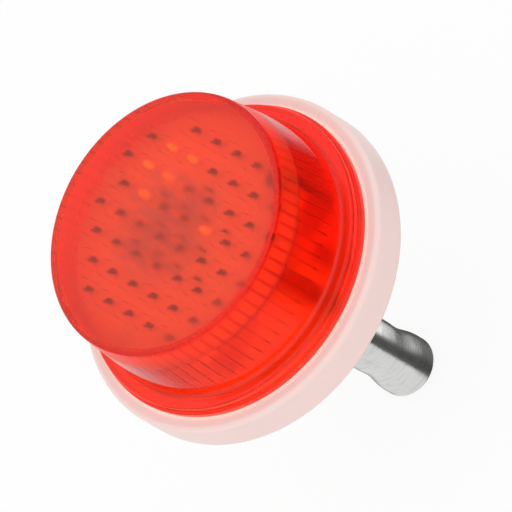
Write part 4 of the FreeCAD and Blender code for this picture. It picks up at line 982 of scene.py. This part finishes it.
def stand_screen():
    """Round screen about the stem that only reflections see, shaded as a studio looks from there: a pale
    half, a dark half, and in the dark half a white strip that fades towards the stem's free end."""
    finish = bpy.data.materials.new("screen")
    web = Web(finish)
    x, y, z = web.axes(web.place(turn=(0.0, 0.0, math.radians(80.0))))
    round_it = y.math("ARCTAN2", y, x)
    pale = round_it.step(-0.04, -0.16) * (0.50 - round_it.step(-2.15, -2.7) * 0.34)
    strip = round_it.step(0.46, 0.90) * round_it.step(1.80, 1.62) * (z.step(-0.008, 0.011) * 0.85 + 0.06)
    tint = web.blend(pale + strip + 0.058, BLACK, (1.0, 1.0, 0.99))
    light = web.node("ShaderNodeEmission", {}, {"Color": tint, "Strength": 1.45})[0]
    web.node("ShaderNodeOutputMaterial", {}, {0: light})
    radius, foot, top, panels = 0.025, -0.045, 0.070, 96
    here = np.arange(panels)
    ahead = (here + 1) % panels
    angles = all_round(panels)
    ring = radius * np.stack([np.cos(angles), np.sin(angles)], -1)
    points = np.concatenate([np.column_stack([ring, np.full(panels, height)]) for height in (foot, top)])
    faces = np.column_stack([here, ahead, ahead + panels, here + panels])
    screen = stage_mesh("screen", points.tolist(), faces.tolist(), finish)
    screen.visible_camera = screen.visible_diffuse = False
    screen.visible_transmission = screen.visible_shadow = False


def set_camera(sizes):
    """Camera on the -Y side at its elevation, rolled about its line of sight, aimed near the base's back."""
    tilt = math.pi / 2 - sizes.elevation
    back = Vector((0, -math.sin(tilt), math.cos(tilt)))
    side, rise = Vector((1, 0, 0)), Vector((0, math.cos(tilt), math.sin(tilt)))
    right = math.cos(sizes.roll) * side - math.sin(sizes.roll) * rise
    up = math.sin(sizes.roll) * side + math.cos(sizes.roll) * rise
    data = bpy.data.cameras.new("camera")
    data.sensor_width, data.lens = 36.0, sizes.lens
    data.clip_start, data.clip_end = 0.05, 100.0
    camera = in_scene("camera", data)
    camera.rotation_mode = "QUATERNION"
    camera.rotation_quaternion = Matrix((right, up, back)).transposed().to_quaternion()
    aim = Vector((0, 0, SEAT)) + right * sizes.aim_right + up * sizes.aim_up
    camera.location = aim + back * sizes.distance
    bpy.context.scene.camera = camera


# --- operators and panel -----------------------------------------------------------------------------------

class FLARE_OT_frame(bpy.types.Operator):
    """Give the CAD nodes that keep their shape their finishes"""
    bl_idname = "flare.frame"
    bl_label = "Base, fastenings and battery"

    def execute(self, context):
        finish_frame()
        return {"FINISHED"}


class FLARE_OT_stem(bpy.types.Operator):
    """Make the turned stem with its threaded stud"""
    bl_idname = "flare.stem"
    bl_label = "Stem"

    def execute(self, context):
        make_stem(context.scene.flare_stem)
        return {"FINISHED"}


class FLARE_OT_leds(bpy.types.Operator):
    """Make the LEDs, their lead frames and dice"""
    bl_idname = "flare.leds"
    bl_label = "LEDs"

    def execute(self, context):
        make_leds(context.scene.flare_leds)
        return {"FINISHED"}


class FLARE_OT_board_parts(bpy.types.Operator):
    """Make the small parts on the LED board"""
    bl_idname = "flare.board_parts"
    bl_label = "Board parts"

    def execute(self, context):
        make_board_parts()
        return {"FINISHED"}


class FLARE_OT_pad(bpy.types.Operator):
    """Make the foam pad over the cells"""
    bl_idname = "flare.pad"
    bl_label = "Foam pad"

    def execute(self, context):
        make_pad()
        return {"FINISHED"}


class FLARE_OT_lens(bpy.types.Operator):
    """Make the red drum lens"""
    bl_idname = "flare.lens"
    bl_label = "Lens"

    def execute(self, context):
        make_lens(context.scene.flare_lens)
        return {"FINISHED"}


class FLARE_OT_stage(bpy.types.Operator):
    """Set the camera, the world, the floor, the lamps and the screen round the stem"""
    bl_idname = "flare.stage"
    bl_label = "Stage"

    def execute(self, context):
        sizes = context.scene.flare_stage
        set_camera(sizes)
        light_round(sizes)
        lay_floor()
        hang_key_lamp(sizes.key)
        hang_room_lamps(sizes.room)
        stand_screen()
        context.scene.view_settings.view_transform = "Standard"
        return {"FINISHED"}


OPERATORS = (FLARE_OT_stage, FLARE_OT_frame, FLARE_OT_stem, FLARE_OT_leds, FLARE_OT_board_parts,
             FLARE_OT_pad, FLARE_OT_lens)


class FLARE_PT_sidebar(bpy.types.Panel):
    """Lists the pieces of the flare and their sizes"""
    bl_idname = "FLARE_PT_sidebar"
    bl_label = "Safety Flare"
    bl_space_type = "VIEW_3D"
    bl_region_type = "UI"
    bl_category = "Flare"

    def draw(self, context):
        for operator in OPERATORS:
            self.layout.operator(operator.bl_idname)
        for name, group in SETTINGS:
            box = self.layout.box()
            box.label(text=group.__doc__)
            for field in group.__annotations__:
                box.prop(getattr(context.scene, name), field)


CLASSES = tuple(group for _, group in SETTINGS) + OPERATORS + (FLARE_PT_sidebar,)


def register():
    """Registers the classes, and gives the scene one set of each group's sizes."""
    for made in CLASSES:
        bpy.utils.register_class(made)
    for name, group in SETTINGS:
        setattr(bpy.types.Scene, name, bpy.props.PointerProperty(type=group))


def unregister():
    """Takes back what register did."""
    for name, _ in SETTINGS:
        delattr(bpy.types.Scene, name)
    for made in reversed(CLASSES):
        bpy.utils.unregister_class(made)


def main():
    """Makes the stage and every piece."""
    register()
    bpy.ops.flare.stage()
    bpy.ops.flare.frame()
    bpy.ops.flare.stem()
    bpy.ops.flare.leds()
    bpy.ops.flare.board_parts()
    bpy.ops.flare.pad()
    bpy.ops.flare.lens()


if __name__ == "__main__":
    main()
